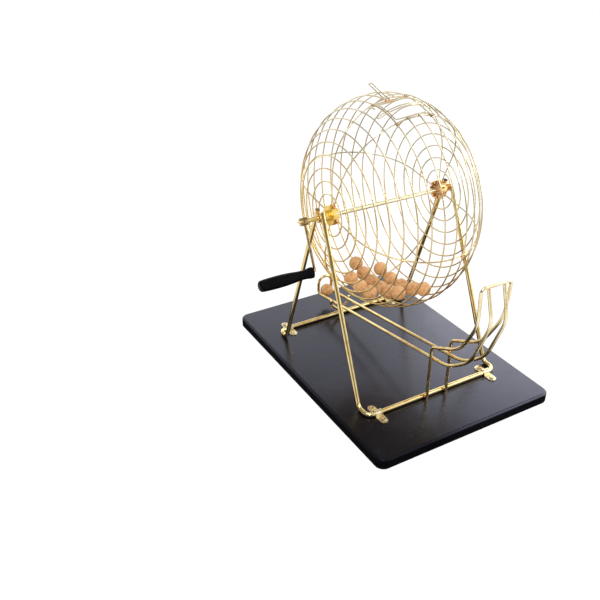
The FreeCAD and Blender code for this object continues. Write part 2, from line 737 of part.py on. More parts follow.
def drum_hub(name, side):
    """Brass cup on the axle with a slot for each meridian and a boss towards the bearing."""
    half = meridian_half()
    cup = make("Part::Cylinder", name + "_cup", {
        "Radius": "dims.hub_diameter / 2",
        "Height": "dims.hub_length",
    })
    boss = make("Part::Cylinder", name + "_boss", {
        "Radius": "dims.boss_diameter / 2",
        "Height": (
            "dims.bearing_standoff - dims.free_gap"
            " + (dims.ring_wire + dims.meridian_wire) / 2 + dims.weld_gap + dims.hub_length / 2"
        ),
    })
    bore = make("Part::Cylinder", name + "_bore", {
        "Radius": "dims.axle_diameter / 2 + dims.weld_gap",
        "Height": "dims.hub_length + dims.bearing_standoff",
    })
    hollow = make("Part::Cylinder", name + "_hollow", {
        "Radius": "dims.hub_recess_diameter / 2",
        "Height": "dims.hub_recess",
    })
    slots = []
    slot_width = size("meridian_wire") + 2 * size("free_gap")
    angles = (size("hatch_start"), size("hatch_end")) + OTHER_MERIDIANS + SPARE_SLOTS
    for index, angle in enumerate(angles, start=1):
        slot = make("Part::Box", f"{name}_slot_{index}", {
            "Length": "dims.hub_diameter / 2",
            "Width": "dims.meridian_wire + 2 * dims.free_gap",
            "Height": "dims.hub_length - dims.hub_web",
        })
        turned = Placement(Vector(), Rotation(Vector(0, 0, 1), QUARTER_TURN + side * angle))
        shifted = Placement(Vector(size("hub_floor"), -slot_width / 2, 0), Rotation())
        slot.Placement = turned * shifted
        slots.append(slot)
    hub = cut(name, fuse(name + "_solid", [cup, boss]), [bore, hollow] + slots)
    hub.Placement = Placement(
        Vector(side * (half - size("hub_length") / 2), 0, 0),
        Rotation(Vector(0, 1, 0), side * QUARTER_TURN),
    )
    return keep(bind(hub, {
        "Placement.Base.y": "dims.axle_y",
        "Placement.Base.z": "dims.axle_z",
    }), name)


def cotter_hole(name):
    """Tool for the cross hole that the cotter pin goes through, in the axle's frame."""
    hole = make("Part::Cylinder", name, {
        "Radius": "dims.cotter_wire + dims.running_gap",
        "Height": "2 * dims.collar_diameter",
    })
    direction = cotter_direction()
    start = Vector(-size("cotter_x"), 0, 0) - direction * size("collar_diameter")
    hole.Placement = Placement(start, Rotation(Vector(0, 0, 1), direction))
    return hole


def axle():
    """Rod through hubs, bearings and crank collar, with the cotter pin's cross hole."""
    left = "(dims.crank_x + dims.cotter_x + dims.collar_length) / 2 + dims.axle_left_overhang"
    right = "dims.bearing_x + dims.bearing_length / 2 + dims.axle_right_overhang"
    rod = make("Part::Cylinder", "axle_rod", {
        "Radius": "dims.axle_diameter / 2",
        "Height": f"{left} + {right}",
        "Placement.Base.x": f"-({left})",
    })
    rod.Placement = Placement(Vector(), ALONG_X)
    return keep(at_axle(cut("axle", rod, [cotter_hole("axle_cross_hole")])), "axle")


def hinge_angle():
    """Angle of the hatch's hinge rod round the axle."""
    return size("hatch_start") + size("hinge_offset")


def hinge_radius(x):
    """Radius of the hinge rod, which runs straight from ring to ring, inside both."""
    touching = (size("ring_wire") + size("hinge_wire")) / 2 + size("weld_gap")
    left, right = (ring_x(index) for index in HATCH_RINGS)
    share = (x - left) / (right - left)
    start = profile_radius(left) - touching
    return start + share * (profile_radius(right) - touching - start)


def hinge_point(x):
    """Point of the hinge rod's centre line."""
    return around(x, hinge_angle(), hinge_radius(x))


def door_sides():
    """Places of the door's two side bars, just inside the rings beside them."""
    inset = (size("ring_wire") + size("door_wire")) / 2 + size("door_side_gap")
    left, right = (ring_x(index) for index in HATCH_RINGS)
    return left + inset, right - inset


def latch_lift():
    """Height of the latch bar above the rings' centres."""
    return (size("ring_wire") + size("door_wire")) / 2 + size("latch_gap")


def hatch_hinge_rod():
    """Straight rod inside two rings, with a bent tail at its left end."""
    left, right = (ring_x(index) for index in HATCH_RINGS)
    corner = hinge_point(left - size("hinge_overhang") - size("hinge_bend"))
    tail = Vector(corner.x, corner.y - size("hinge_tail"), corner.z)
    centreline = bent_wire(
        [hinge_point(right + size("hinge_overhang")), corner, tail], [size("hinge_bend")],
    )
    rod = add_rod("hatch_hinge_rod", centreline, "hinge_wire")
    return keep(at_axle(rod), "hatch_hinge_rod")


def hatch_sleeve():
    """Tube that turns on the hinge rod and carries the door and its lever."""
    left, right = door_sides()
    start = hinge_point(left - size("door_wire") / 2)
    end = hinge_point(right + size("door_wire") / 2)
    outer = make("Part::Cylinder", "hatch_sleeve_outside", {"Radius": "dims.sleeve_diameter / 2"})
    bore = make("Part::Cylinder", "hatch_sleeve_bore", {
        "Radius": "dims.hinge_wire / 2 + dims.running_gap",
    })
    for cylinder in (outer, bore):
        cylinder.Height = (end - start).Length
    sleeve = cut("hatch_sleeve", outer, [bore])
    sleeve.Placement = Placement(
        start + Vector(0, size("axle_y"), size("axle_z")),
        Rotation(Vector(0, 0, 1), end - start),
    )
    return keep(sleeve, "hatch_sleeve")


def hatch_door_frame():
    """Wire down one side of the hatch, along its front and up the other side."""
    front = size("hatch_end") - size("door_lap")
    level = latch_lift() - size("door_wire") - size("latch_drop")
    halves = []
    for x in door_sides():
        off = math.degrees((size("sleeve_diameter") / 2 + size("butt_gap")) / hinge_radius(x))
        start = hinge_angle() + off
        side = [around(x, start, hinge_radius(x))]
        for step in range(1, DOOR_STEPS + 1):
            angle = start + (front - start) * step / DOOR_STEPS
            side.append(around(x, angle, profile_radius(x) + level))
        halves.append(side)
    points = halves[0] + halves[1][::-1]
    bends = doubled([DOOR_STEPS * size("door_bend")] * (DOOR_STEPS - 1) + [size("door_bend")])
    rod = add_rod("hatch_door_frame", bent_wire(points, bends), "door_wire")
    return keep(at_axle(rod), "hatch_door_frame")


def hatch_latch_bar():
    """Doubled bar across the door, whose looped end rests on the ring beside the hatch."""
    right = door_sides()[1] + size("door_wire") / 2
    left = ring_x(HATCH_RINGS[0]) - size("latch_overhang")
    strands = []
    for angle in (size("latch_angle"), size("latch_angle") + size("latch_spacing")):
        strand = []
        for step in range(DOOR_STEPS + 1):
            x = right + (left - right) * step / DOOR_STEPS
            strand.append(around(x, angle, profile_radius(x) + latch_lift()))
        strands.append(strand)
    points = strands[0] + strands[1][::-1]
    turn = math.radians(size("latch_spacing")) * profile_radius(left) / 2 - size("weld_gap")
    bends = doubled([DOOR_STEPS * size("door_bend")] * (DOOR_STEPS - 1) + [turn])
    rod = add_rod("hatch_latch_bar", bent_wire(points, bends), "door_wire")
    return keep(at_axle(rod), "hatch_latch_bar")


def hatch_finger_lever():
    """Hairpin that passes under the rear meridian; pressed inward, it opens the door."""
    slope = math.radians(size("lever_slope"))
    along = Vector(0, math.cos(slope), math.sin(slope))
    half = size("lever_width") / 2
    reach = along * (size("sleeve_diameter") / 2 + size("butt_gap"))
    roots = [hinge_point(size("lever_x") + aside) + reach for aside in (-half, half)]
    tip = hinge_point(size("lever_x")) + along * size("lever_length")
    tips = [tip + Vector(aside, 0, 0) for aside in (-half, half)]
    bend = half - size("weld_gap")
    centreline = bent_wire([roots[0], tips[0], tips[1], roots[1]], [bend, bend])
    rod = add_rod("hatch_finger_lever", centreline, "door_wire")
    return keep(at_axle(rod), "hatch_finger_lever")


def arm_direction():
    """Direction of the crank arm away from the axle."""
    lean = math.radians(size("crank_lean"))
    return Vector(0, -math.sin(lean), -math.cos(lean))


def cotter_direction():
    """Direction of the cotter pin's tails, square to the crank arm."""
    lean = math.radians(size("crank_lean"))
    return Vector(0, -math.cos(lean), math.sin(lean))


def grip_face_x():
    """Place of the grip's collar face along the axle."""
    return -(size("crank_x") + size("crank_bend") + size("free_gap"))


def crank_collar():
    """Collar on the axle's end with a socket for the arm and the cotter pin's hole."""
    solid = make("Part::Cylinder", "crank_collar_outside", {
        "Radius": "dims.collar_diameter / 2",
        "Height": "dims.collar_length",
        "Placement.Base.x": "-(dims.crank_x + dims.cotter_x + dims.collar_length) / 2",
    })
    bore = make("Part::Cylinder", "crank_collar_bore", {
        "Radius": "dims.axle_diameter / 2 + dims.weld_gap",
        "Height": "2 * dims.collar_length",
        "Placement.Base.x": "-(dims.crank_x + dims.cotter_x + 2 * dims.collar_length) / 2",
    })
    for cylinder in (solid, bore):
        cylinder.Placement = Placement(Vector(), ALONG_X)
    socket = make("Part::Cylinder", "crank_collar_socket", {
        "Radius": "dims.crank_diameter / 2 + dims.weld_gap",
        "Height": "dims.collar_diameter",
    })
    socket.Placement = Placement(
        Vector(-size("crank_x"), 0, 0), Rotation(Vector(0, 0, 1), arm_direction()),
    )
    tools = [bore, socket, cotter_hole("crank_collar_cross_hole")]
    return keep(at_axle(cut("crank_collar", solid, tools)), "crank_collar")


def crank_arm():
    """Bent rod: the arm from its socket down to the bend, and the pin that the grip turns on."""
    start = size("axle_diameter") / 2 + size("free_gap")
    corner = Vector(-size("crank_x"), 0, 0) + arm_direction() * size("crank_radius")
    bore_end = grip_face_x() - size("grip_length") + size("grip_wall")
    tip = Vector(bore_end + size("free_gap"), corner.y, corner.z)
    centreline = bent_wire(
        [Vector(-size("crank_x"), 0, 0) + arm_direction() * start, corner, tip],
        [size("crank_bend")],
    )
    rod = add_rod("crank_arm_rod", centreline, "crank_diameter")
    bead = make("Part::Cylinder", "crank_arm_bead", {
        "Radius": "dims.bead_diameter / 2",
        "Height": "dims.bead_length",
    })
    bead.Placement = Placement(tip, ALONG_X)
    return keep(at_axle(fuse("crank_arm", [rod, bead])), "crank_arm")


def cotter_pin():
    """Split pin: an eye behind the axle and two tails splayed in front of it."""
    out = cotter_direction()
    centre = Vector(-size("cotter_x"), 0, 0)
    half = size("cotter_wire") / 2 + size("weld_gap")
    eye_half = size("cotter_eye_width") / 2
    surface = size("collar_diameter") / 2 + size("cotter_wire")
    eye_start = surface + size("cotter_wire")
    eye_end = surface + size("cotter_head")

    def place(across, along):
        return centre + Vector(across, 0, 0) + out * along

    points = [
        place(-half - size("cotter_tail_long"), surface + size("cotter_tail_long") / 2),
        place(-half, surface),
        place(-half, -surface),
        place(-eye_half, -eye_start),
        place(-eye_half, -eye_end),
        place(eye_half, -eye_end),
        place(eye_half, -eye_start),
        place(half, -surface),
        place(half, surface),
        place(half + size("cotter_tail_short"), surface + size("cotter_tail_short") / 2),
    ]
    small = size("cotter_wire") / 2 + size("running_gap")
    bends = doubled([small, small, small, size("cotter_wire")])
    return keep(at_axle(add_rod("cotter_pin", bent_wire(points, bends), "cotter_wire")), "cotter_pin")


def grip_outline():
    """Half outline of the grip as a face: along Z from its collar face, radii along X."""
    tip_radius = size("grip_tip") / 2
    length = size("grip_length")
    rounding = size("grip_round")
    face = Vector(size("grip_collar") / 2, 0, 0)
    shoulder = Vector(size("grip_collar") / 2, 0, size("grip_collar_length"))
    shank_end = Vector(tip_radius, 0, length - rounding)
    crown = Vector(tip_radius - rounding, 0, length)
    crown_middle = Vector(
        tip_radius - rounding + rounding * math.sqrt(0.5),
        0,
        length - rounding + rounding * math.sqrt(0.5),
    )
    shank = Part.BSplineCurve()
    shank.interpolate([
        shoulder,
        Vector(size("grip_neck") / 2, 0, size("grip_neck_reach")),
        Vector(size("grip_swell") / 2, 0, size("grip_swell_reach")),
        Vector(size("grip_belly") / 2, 0, size("grip_belly_reach")),
        shank_end,
    ])
    top = Vector(0, 0, length)
    return Part.Face(Part.Wire([
        Part.LineSegment(Vector(), face).toShape(),
        Part.LineSegment(face, shoulder).toShape(),
        shank.toShape(),
        Part.Arc(shank_end, crown_middle, crown).toShape(),
        Part.LineSegment(crown, top).toShape(),
        Part.LineSegment(top, Vector()).toShape(),
    ]))


def crank_grip():
    """Moulded grip with a collar, a neck and a swelling, bored for the crank's pin."""
    outline = doc.addObject("Part::Feature", "crank_grip_outline")
    outline.Shape = grip_outline()
    turned = doc.addObject("Part::Revolution", "crank_grip_solid")
    turned.Source = outline
    turned.Axis = Vector(0, 0, 1)
    turned.Angle = FULL_TURN
    bead_start = "dims.grip_length - dims.grip_wall - dims.bead_length - 2 * dims.free_gap"
    bore = make("Part::Cylinder", "crank_grip_bore", {
        "Radius": "dims.crank_diameter / 2 + dims.running_gap",
        "Height": bead_start,
    })
    room = make("Part::Cylinder", "crank_grip_bead_room", {
        "Radius": "dims.bead_diameter / 2 + dims.free_gap",
        "Height": "dims.bead_length + 2 * dims.free_gap",
        "Placement.Base.z": bead_start,
    })
    grip = cut("crank_grip", turned, [bore, room])
    axis = arm_direction() * size("crank_radius")
    grip.Placement = Placement(
        Vector(grip_face_x(), size("axle_y") + axis.y, size("axle_z") + axis.z),
        Rotation(Vector(0, 1, 0), -QUARTER_TURN),
    )
    return keep(grip, "crank_grip")


def ball_orbit(x):
    """Radius at which a ball's centre clears all that turns with the cage.

    Every ball stays inside the meridians, and one in the lever's path inside the hatch's reach.
    """
    ball = size("ball_diameter") / 2
    inset = size("ring_wire") / 2 + size("meridian_wire") + size("weld_gap") + size("free_gap")
    orbit = cage_flat() + math.sqrt((size("rim_radius") - inset - ball) ** 2 - x ** 2)
    lane = ball + (size("lever_width") + size("door_wire")) / 2 + size("free_gap")
    if abs(x - size("lever_x")) < lane:
        orbit = min(orbit, size("load_reach") - ball)
    return orbit


def drum_balls():
    """Balls lying in the bottom of the cage, in rows round the axle."""
    balls = []
    for place, first, step, count in BALL_ROWS:
        x = size(place)
        for index in range(int(size(count))):
            centre = around(x, size(first) + size(step) * index, ball_orbit(x))
            ball = make("Part::Sphere", f"drum_ball_{len(balls) + 1}", {
                "Radius": "dims.ball_diameter / 2",
            })
            ball.Placement = Placement(centre, Rotation())
            balls.append(ball)
    group = doc.addObject("Part::Compound", "drum_balls")
    group.Links = balls
    return keep(at_axle(group), "drum_balls")


def chute_ball():
    """Ball on the rails, just short of the arch that stops it."""
    ball = make("Part::Sphere", "chute_ball", {"Radius": "dims.ball_diameter / 2"})
    apart = (size("ball_diameter") + size("wire_diameter")) / 2 + size("free_gap")
    lift = math.sqrt(apart ** 2 - rail_half() ** 2) * math.hypot(1, size("chute_rise"))
    y = size("arch_y") - size("arch_foot_bend")
    ball.Placement = Placement(Vector(0, y, rail_z(y) + lift), Rotation())
    return keep(ball, "chute_ball")


def build_stand():
    """Board, stand rods, bearings, clips, screws and the wires that the balls run in."""
    base_board()
    stand_rod("front_stand_rod", -1, "front_foot")
    stand_rod("rear_stand_rod", 1, "rear_foot")
    bearing("left_bearing", -1)
    bearing("right_bearing", 1)
    for name, (x, y) in clip_places().items():
        saddle_clip(name, x, y)
    clip_screws()
    chute_wire()
    scoop_wire()
    rear_chute_rest()


def build_drum():
    """Axle, hubs, cage and the hatch with its door."""
    axle()
    drum_hub("left_hub", -1)
    drum_hub("right_hub", 1)
    for index in range(int(size("ring_count"))):
        cage_ring(index)
    cage_meridians()
    hatch_hinge_rod()
    hatch_sleeve()
    hatch_door_frame()
    hatch_latch_bar()
    hatch_finger_lever()


def build_crank():
    """Collar, arm, cotter pin and grip."""
    crank_collar()
    crank_arm()
    cotter_pin()
    crank_grip()


def check_document():
    """Stop if an object failed or a piece has no sound shape."""
    for thing in doc.Objects:
        if "Invalid" in thing.State or "Error" in thing.State:
            raise RuntimeError(f"{thing.Name} failed: {thing.State}")
    for piece in pieces:
        if piece.Shape.isNull() or not piece.Shape.isValid():
            raise RuntimeError(f"{piece.Label} has no sound shape")


def write_pieces():
    """Write each piece to its own file."""
    os.makedirs("parts", exist_ok=True)
    for piece in pieces:
        piece.Shape.exportStep(os.path.join("parts", piece.Label + ".step"))


build_stand()
build_drum()
build_crank()
drum_balls()
chute_ball()
doc.recompute()
check_document()
write_pieces()
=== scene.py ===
"""Looks of a raffle drum with a crank: its finishes, brazed joints and small fittings.

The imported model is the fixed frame. Every wire, rod, fitting and ball in it keeps its shape and
place and gets a finish here, and the pieces that only show are built round it from the frame's
own boxes. Lengths are in metres, angles round the axle run from the rear over the top.
"""

from __future__ import annotations

import json
import logging
import math
import random
from dataclasses import dataclass, field
from enum import Enum
from typing import Iterable, Sequence

import bmesh
import bpy
from mathutils import Matrix, Vector


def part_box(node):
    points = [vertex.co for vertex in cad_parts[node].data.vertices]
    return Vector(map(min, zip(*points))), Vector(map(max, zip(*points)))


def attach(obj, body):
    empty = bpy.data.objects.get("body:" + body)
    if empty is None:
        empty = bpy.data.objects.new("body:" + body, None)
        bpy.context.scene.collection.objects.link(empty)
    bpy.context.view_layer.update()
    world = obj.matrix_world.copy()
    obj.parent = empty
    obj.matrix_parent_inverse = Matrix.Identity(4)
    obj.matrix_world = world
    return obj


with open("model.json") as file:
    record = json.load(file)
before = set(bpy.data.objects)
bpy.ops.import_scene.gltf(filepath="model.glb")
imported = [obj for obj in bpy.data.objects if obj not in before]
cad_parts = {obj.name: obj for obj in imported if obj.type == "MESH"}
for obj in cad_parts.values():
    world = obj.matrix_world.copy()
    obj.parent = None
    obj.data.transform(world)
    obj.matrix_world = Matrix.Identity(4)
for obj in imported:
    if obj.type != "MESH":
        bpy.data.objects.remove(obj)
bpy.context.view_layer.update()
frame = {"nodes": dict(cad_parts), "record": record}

LOG = logging.getLogger("raffle_drum")

Socket = bpy.types.NodeSocket
Color = tuple[float, float, float]
Triple = tuple[float, float, float]
Pair = tuple[float, float]
Stop = tuple[float, Color]

WHITE: Color = (1.0, 1.0, 1.0)
UP: Triple = (0.0, 0.0, 1.0)
UNIT: Pair = (0.0, 1.0)
# Most of a noise texture's values lie between these two.
NOISE_SPAN: Pair = (0.3, 0.7)
# Sockets of a node that mixes colours. Its sockets share their names, so they go by number.
MIX_SHARE, MIX_FIRST, MIX_SECOND, MIX_RESULT = 0, 6, 7, 2


class Slot(Enum):
    """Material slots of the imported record."""

    LACQUER = "black_lacquer"
    ROD = "brass_rod"
    WIRE = "brass_wire"
    SHEET = "brass_sheet"
    SCREW = "brass_screw"
    CAST = "cast_brass"
    CRANK = "crank_brass"
    GRIP = "black_grip"
    WOOD = "ball_wood"


class Body(Enum):
    """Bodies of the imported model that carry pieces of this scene."""

    STAND = "stand"
    DRUM = "drum"
    GRIP = "grip"
    HATCH = "hatch"


class NodeTree:
    """Shader node tree that is built node by node."""

    def __init__(self, tree: bpy.types.NodeTree) -> None:
        """Take over a tree.

        Args:
            tree: Node tree of a material or a world.
        """
        self.tree = tree

    @classmethod
    def emptied(cls, owner: bpy.types.Material | bpy.types.World) -> NodeTree:
        """Take over the tree of a material or a world, without the nodes it starts with."""
        owner.use_nodes = True
        owner.node_tree.nodes.clear()
        return cls(owner.node_tree)

    def add(
        self, kind: str, settings: dict | None = None, values: dict | None = None,
    ) -> bpy.types.Node:
        """Add one node.

        Args:
            kind: Type of the node.
            settings: Properties of the node itself.
            values: Input sockets, by name or number, and what they hold.

        Returns:
            The new node.
        """
        node = self.tree.nodes.new(kind)
        for key, value in (settings or {}).items():
            setattr(node, key, value)
        for key, value in (values or {}).items():
            node.inputs[key].default_value = value
        return node

    def link(self, source: Socket, node: bpy.types.Node, socket: str | int) -> None:
        """Join an output socket to an input of a node."""
        self.tree.links.new(source, node.inputs[socket])

    def feed(
        self, source: Socket | float | Sequence[float], node: bpy.types.Node, socket: str | int,
    ) -> None:
        """Join an output socket to an input of a node, or set the input to a plain value."""
        if isinstance(source, Socket):
            self.link(source, node, socket)
        else:
            node.inputs[socket].default_value = source

    def ramp(self, value: Socket, stops: Iterable[Stop]) -> Socket:
        """Colour ramp over a value, with its colours at the given places."""
        node = self.add("ShaderNodeValToRGB")
        elements = node.color_ramp.elements
        stops = list(stops)
        while len(elements) < len(stops):
            elements.new(0.5)
        for element, (place, color) in zip(elements, stops):
            element.position = place
            element.color = (*color, 1.0)
        self.link(value, node, "Fac")
        return node.outputs["Color"]

    def ranged(
        self, value: Socket, low: float, high: float, source: Pair = NOISE_SPAN,
    ) -> Socket:
        """Value carried from a source range to the range from low to high."""
        node = self.add("ShaderNodeMapRange", values={
            "From Min": source[0], "From Max": source[1], "To Min": low, "To Max": high,
        })
        self.link(value, node, "Value")
        return node.outputs["Result"]

    def calculated(
        self, operation: str, first: Socket | float, second: Socket | float = 0.0,
    ) -> Socket:
        """Result of a calculation with one or two sockets or numbers."""
        node = self.add("ShaderNodeMath", {"operation": operation})
        self.feed(first, node, 0)
        self.feed(second, node, 1)
        return node.outputs[0]

    def along(self, vector: Socket, direction: Sequence[float]) -> Socket:
        """Share of a vector along a direction."""
        node = self.add("ShaderNodeVectorMath", {"operation": "DOT_PRODUCT"}, {1: direction})
        self.link(vector, node, 0)
        return node.outputs["Value"]

    def blended(self, share: Socket, first: Socket, second: Socket) -> Socket:
        """Shader that goes from the first to the second as the share goes from 0 to 1."""
        node = self.add("ShaderNodeMixShader")
        for index, socket in enumerate((share, first, second)):
            self.link(socket, node, index)
        return node.outputs[0]

    def end(self, kind: str, surface: Socket) -> None:
        """End the tree in an output node that shows a shader."""
        self.link(surface, self.add(kind), "Surface")


@dataclass(frozen=True)
class Noise:
    """Noise pattern: cells to the metre, octaves of finer noise and how strong those are."""

    cells: float
    detail: float
    rough: float


@dataclass(frozen=True)
class Bump:
    """How strongly a pattern stands out of a surface, and how deep it is."""

    strength: float
    depth: float


class Shader(NodeTree):
    """Procedural material on one Principled shader."""

    def __init__(self, name: str) -> None:
        """Start a material.

        Args:
            name: Name of the material.
        """
        self.material = bpy.data.materials.new(name)
        self.material.use_nodes = True
        super().__init__(self.material.node_tree)
        self.surface = self.tree.nodes["Principled BSDF"]
        self.coords = self.add("ShaderNodeTexCoord").outputs["Object"]

    def stretched(self, scale: Sequence[float], coords: Socket | None = None) -> Socket:
        """Coordinates scaled along each axis, the object's own unless others are given."""
        mapping = self.add("ShaderNodeMapping", values={"Scale": scale})
        self.link(coords or self.coords, mapping, "Vector")
        return mapping.outputs["Vector"]

    def noise(self, pattern: Noise, coords: Socket | None = None) -> Socket:
        """Noise over coordinates, the object's own unless others are given."""
        node = self.add("ShaderNodeTexNoise", values={
            "Scale": pattern.cells, "Detail": pattern.detail, "Roughness": pattern.rough,
        })
        self.link(coords or self.coords, node, "Vector")
        return node.outputs["Fac"]

    def bumped(self, height: Socket, bump: Bump) -> Socket:
        """Surface direction with a bump from a height."""
        node = self.add("ShaderNodeBump", values={
            "Strength": bump.strength, "Distance": bump.depth,
        })
        self.link(height, node, "Height")
        return node.outputs["Normal"]

    def multiplied(
        self, color: Socket, other: Socket | Sequence[float], share: Socket | float,
    ) -> Socket:
        """Colour multiplied by another, as far as the share says."""
        node = self.add("ShaderNodeMix", {"data_type": "RGBA", "blend_type": "MULTIPLY"})
        self.feed(share, node, MIX_SHARE)
        self.feed(color, node, MIX_FIRST)
        self.feed(other, node, MIX_SECOND)
        return node.outputs[MIX_RESULT]

    def finish(self, values: dict, **sockets: Socket) -> bpy.types.Material:
        """Set the surface's fixed values and link the sockets that vary.

        Args:
            values: Fixed values of the Principled shader's inputs.
            **sockets: Output sockets, by the input's name with spaces as underlines.

        Returns:
            The finished material.
        """
        for key, value in values.items():
            self.surface.inputs[key].default_value = value
        for key, socket in sockets.items():
            self.link(socket, self.surface, key.replace("_", " "))
        return self.material


@dataclass(frozen=True)
class Fade:
    """Tint that a finish takes on along one direction of the model, between two places."""

    direction: Triple
    places: Pair
    tint: Color


@dataclass(frozen=True)
class PlatedMetal:
    """Brass plating: pale where it is thick, deeper and duller in blotches and scratches, and on
    the cage wire and the chute tinted along one direction, a painted reflection.
    """

    name: str
    pale: Color
    deep: Color
    dull: Color
    shine: Pair
    blotches: float = 70.0
    blotch_detail: float = 4.0
    blotch_rough: float = 0.6
    blotch_places: Triple = (0.30, 0.46, 0.62)
    scratches: Noise = Noise(900.0, 3.0, 0.7)
    scratch_bump: Bump = Bump(0.20, 0.000012)
    fade: Fade | None = None

    def material(self) -> bpy.types.Material:
        """Build the material."""
        shader = Shader(self.name)
        blotch = shader.noise(Noise(self.blotches, self.blotch_detail, self.blotch_rough))
        color = shader.ramp(blotch, zip(self.blotch_places, (self.dull, self.deep, self.pale)))
        # The fade tints the colour along one direction; on the cage wire and the chute it is
        # painted reflected light and glare.
        if self.fade:
            place = shader.along(shader.coords, self.fade.direction)
            share = shader.ranged(place, *UNIT, self.fade.places)
            color = shader.multiplied(color, (*self.fade.tint, 1.0), share)
        fine = shader.noise(self.scratches)
        roughness = shader.ranged(fine, *self.shine)
        normal = shader.bumped(fine, self.scratch_bump)
        return shader.finish(
            {"Metallic": 1.0}, Base_Color=color, Roughness=roughness, Normal=normal,
        )


@dataclass(frozen=True)
class BlackLacquer:
    """Black lacquer on wood, with the grain just telling through and its reflection painted dimmer
    towards a corner, a painted shade.
    """

    name: str = "black_lacquer"
    deep: Color = (0.0015, 0.0015, 0.0024)
    worn: Color = (0.0030, 0.0030, 0.0046)
    clouds: Noise = Noise(9.0, 4.0, 0.55)
    cloud_places: Pair = (0.35, 0.65)
    grain: Noise = Noise(260.0, 3.0, 0.6)
    grain_stretch: Triple = (1.0, 0.035, 1.0)
    grain_bump: Bump = Bump(0.03, 0.00002)
    buffing: Noise = Noise(45.0, 5.0, 0.65)
    shine: Pair = (0.23, 0.29)
    reflection_tint: Color = (0.68, 0.71, 1.0)
    # Reflection tint at the corner: a painted shade that dims the shine there.
    painted_dim_reflection: Color = (0.13, 0.13, 0.19)
    cornerward: Triple = (-0.75, -0.66, 0.0)
    dim_reflection_from: Pair = (0.085, 0.142)
    ior: float = 1.55
    specular: float = 0.64

    def material(self) -> bpy.types.Material:
        """Build the material."""
        shader = Shader(self.name)
        cloud = shader.noise(self.clouds)
        color = shader.ramp(cloud, zip(self.cloud_places, (self.deep, self.worn)))
        grain = shader.noise(self.grain, shader.stretched(self.grain_stretch))
        normal = shader.bumped(grain, self.grain_bump)
        roughness = shader.ranged(shader.noise(self.buffing), *self.shine)
        # Painted shade: the reflection's tint darkens towards the front-left corner.
        place = shader.along(shader.coords, self.cornerward)
        painted_reflection_dimming = shader.ranged(place, *UNIT, self.dim_reflection_from)
        reflection_tint = shader.ramp(painted_reflection_dimming, zip(UNIT, (self.reflection_tint, self.painted_dim_reflection)))
        return shader.finish(
            {"IOR": self.ior, "Specular IOR Level": self.specular},
            Base_Color=color, Roughness=roughness, Normal=normal, Specular_Tint=reflection_tint,
        )


@dataclass(frozen=True)
class MouldedPlastic:
    """Black moulded plastic with a fine mould texture and handling marks."""

    name: str = "black_grip"
    body: Color = (0.0010, 0.0010, 0.0015)
    rubbed: Color = (0.0026, 0.0026, 0.0036)
    rubbing: Noise = Noise(110.0, 4.0, 0.6)
    rubbing_places: Pair = (0.4, 0.7)
    texture: Noise = Noise(2600.0, 2.0, 0.5)
    texture_bump: Bump = Bump(0.18, 0.00004)
    handling: Noise = Noise(260.0, 4.0, 0.6)
    shine: Pair = (0.34, 0.48)
    ior: float = 1.45
    specular: float = 0.07

    def material(self) -> bpy.types.Material:
        """Build the material."""
        shader = Shader(self.name)
        rubbing = shader.noise(self.rubbing)
        color = shader.ramp(rubbing, zip(self.rubbing_places, (self.body, self.rubbed)))
        normal = shader.bumped(shader.noise(self.texture), self.texture_bump)
        roughness = shader.ranged(shader.noise(self.handling), *self.shine)
        return shader.finish(
            {"IOR": self.ior, "Specular IOR Level": self.specular},
            Base_Color=color, Roughness=roughness, Normal=normal,
        )


@dataclass(frozen=True)
class TurnedWood:
    """Bare turned wood: each ball cut from the stock at its own angle, with its own tone."""

    name: str = "ball_wood"
    light: Color = (0.74, 0.44, 0.215)
    middle: Color = (0.65, 0.345, 0.145)
    dark: Color = (0.49, 0.230, 0.085)
    pore: Color = (0.72, 0.66, 0.60)
    tone: Pair = (0.92, 1.14)
    stock_axis: Triple = (0.48, 0.62, 0.62)
    fibre_stretch: Triple = (1.0, 1.0, 0.10)
    bands: Noise = Noise(300.0, 3.0, 0.55)
    band_places: Triple = (0.30, 0.48, 0.64)
    pores: Noise = Noise(2300.0, 2.0, 0.6)
    pore_places: Pair = (0.34, 0.50)
    pore_share: float = 0.7
    pore_bump: Bump = Bump(0.35, 0.00006)
    shine: Pair = (0.48, 0.66)
    ior: float = 1.46
    specular: float = 0.35

    def material(self) -> bpy.types.Material:
        """Build the material."""
        shader = Shader(self.name)
        island = shader.add("ShaderNodeNewGeometry").outputs["Random Per Island"]
        turn = shader.add("ShaderNodeVectorRotate", {"rotation_type": "AXIS_ANGLE"}, {
            "Axis": self.stock_axis,
        })
        shader.link(shader.coords, turn, "Vector")
        shader.link(shader.ranged(island, 0.0, math.tau, UNIT), turn, "Angle")
        fibres = shader.stretched(self.fibre_stretch, turn.outputs["Vector"])
        bands = shader.noise(self.bands, fibres)
        pores = shader.noise(self.pores, fibres)
        color = shader.ramp(bands, zip(self.band_places, (self.dark, self.middle, self.light)))
        fleck = shader.ramp(pores, zip(self.pore_places, (self.pore, WHITE)))
        toned = shader.add("ShaderNodeHueSaturation")
        shader.link(shader.multiplied(color, fleck, self.pore_share), toned, "Color")
        shader.link(shader.ranged(island, *self.tone, UNIT), toned, "Value")
        normal = shader.bumped(pores, self.pore_bump)
        roughness = shader.ranged(bands, *self.shine)
        return shader.finish(
            {"IOR": self.ior, "Specular IOR Level": self.specular},
            Base_Color=toned.outputs["Color"], Roughness=roughness, Normal=normal,
        )
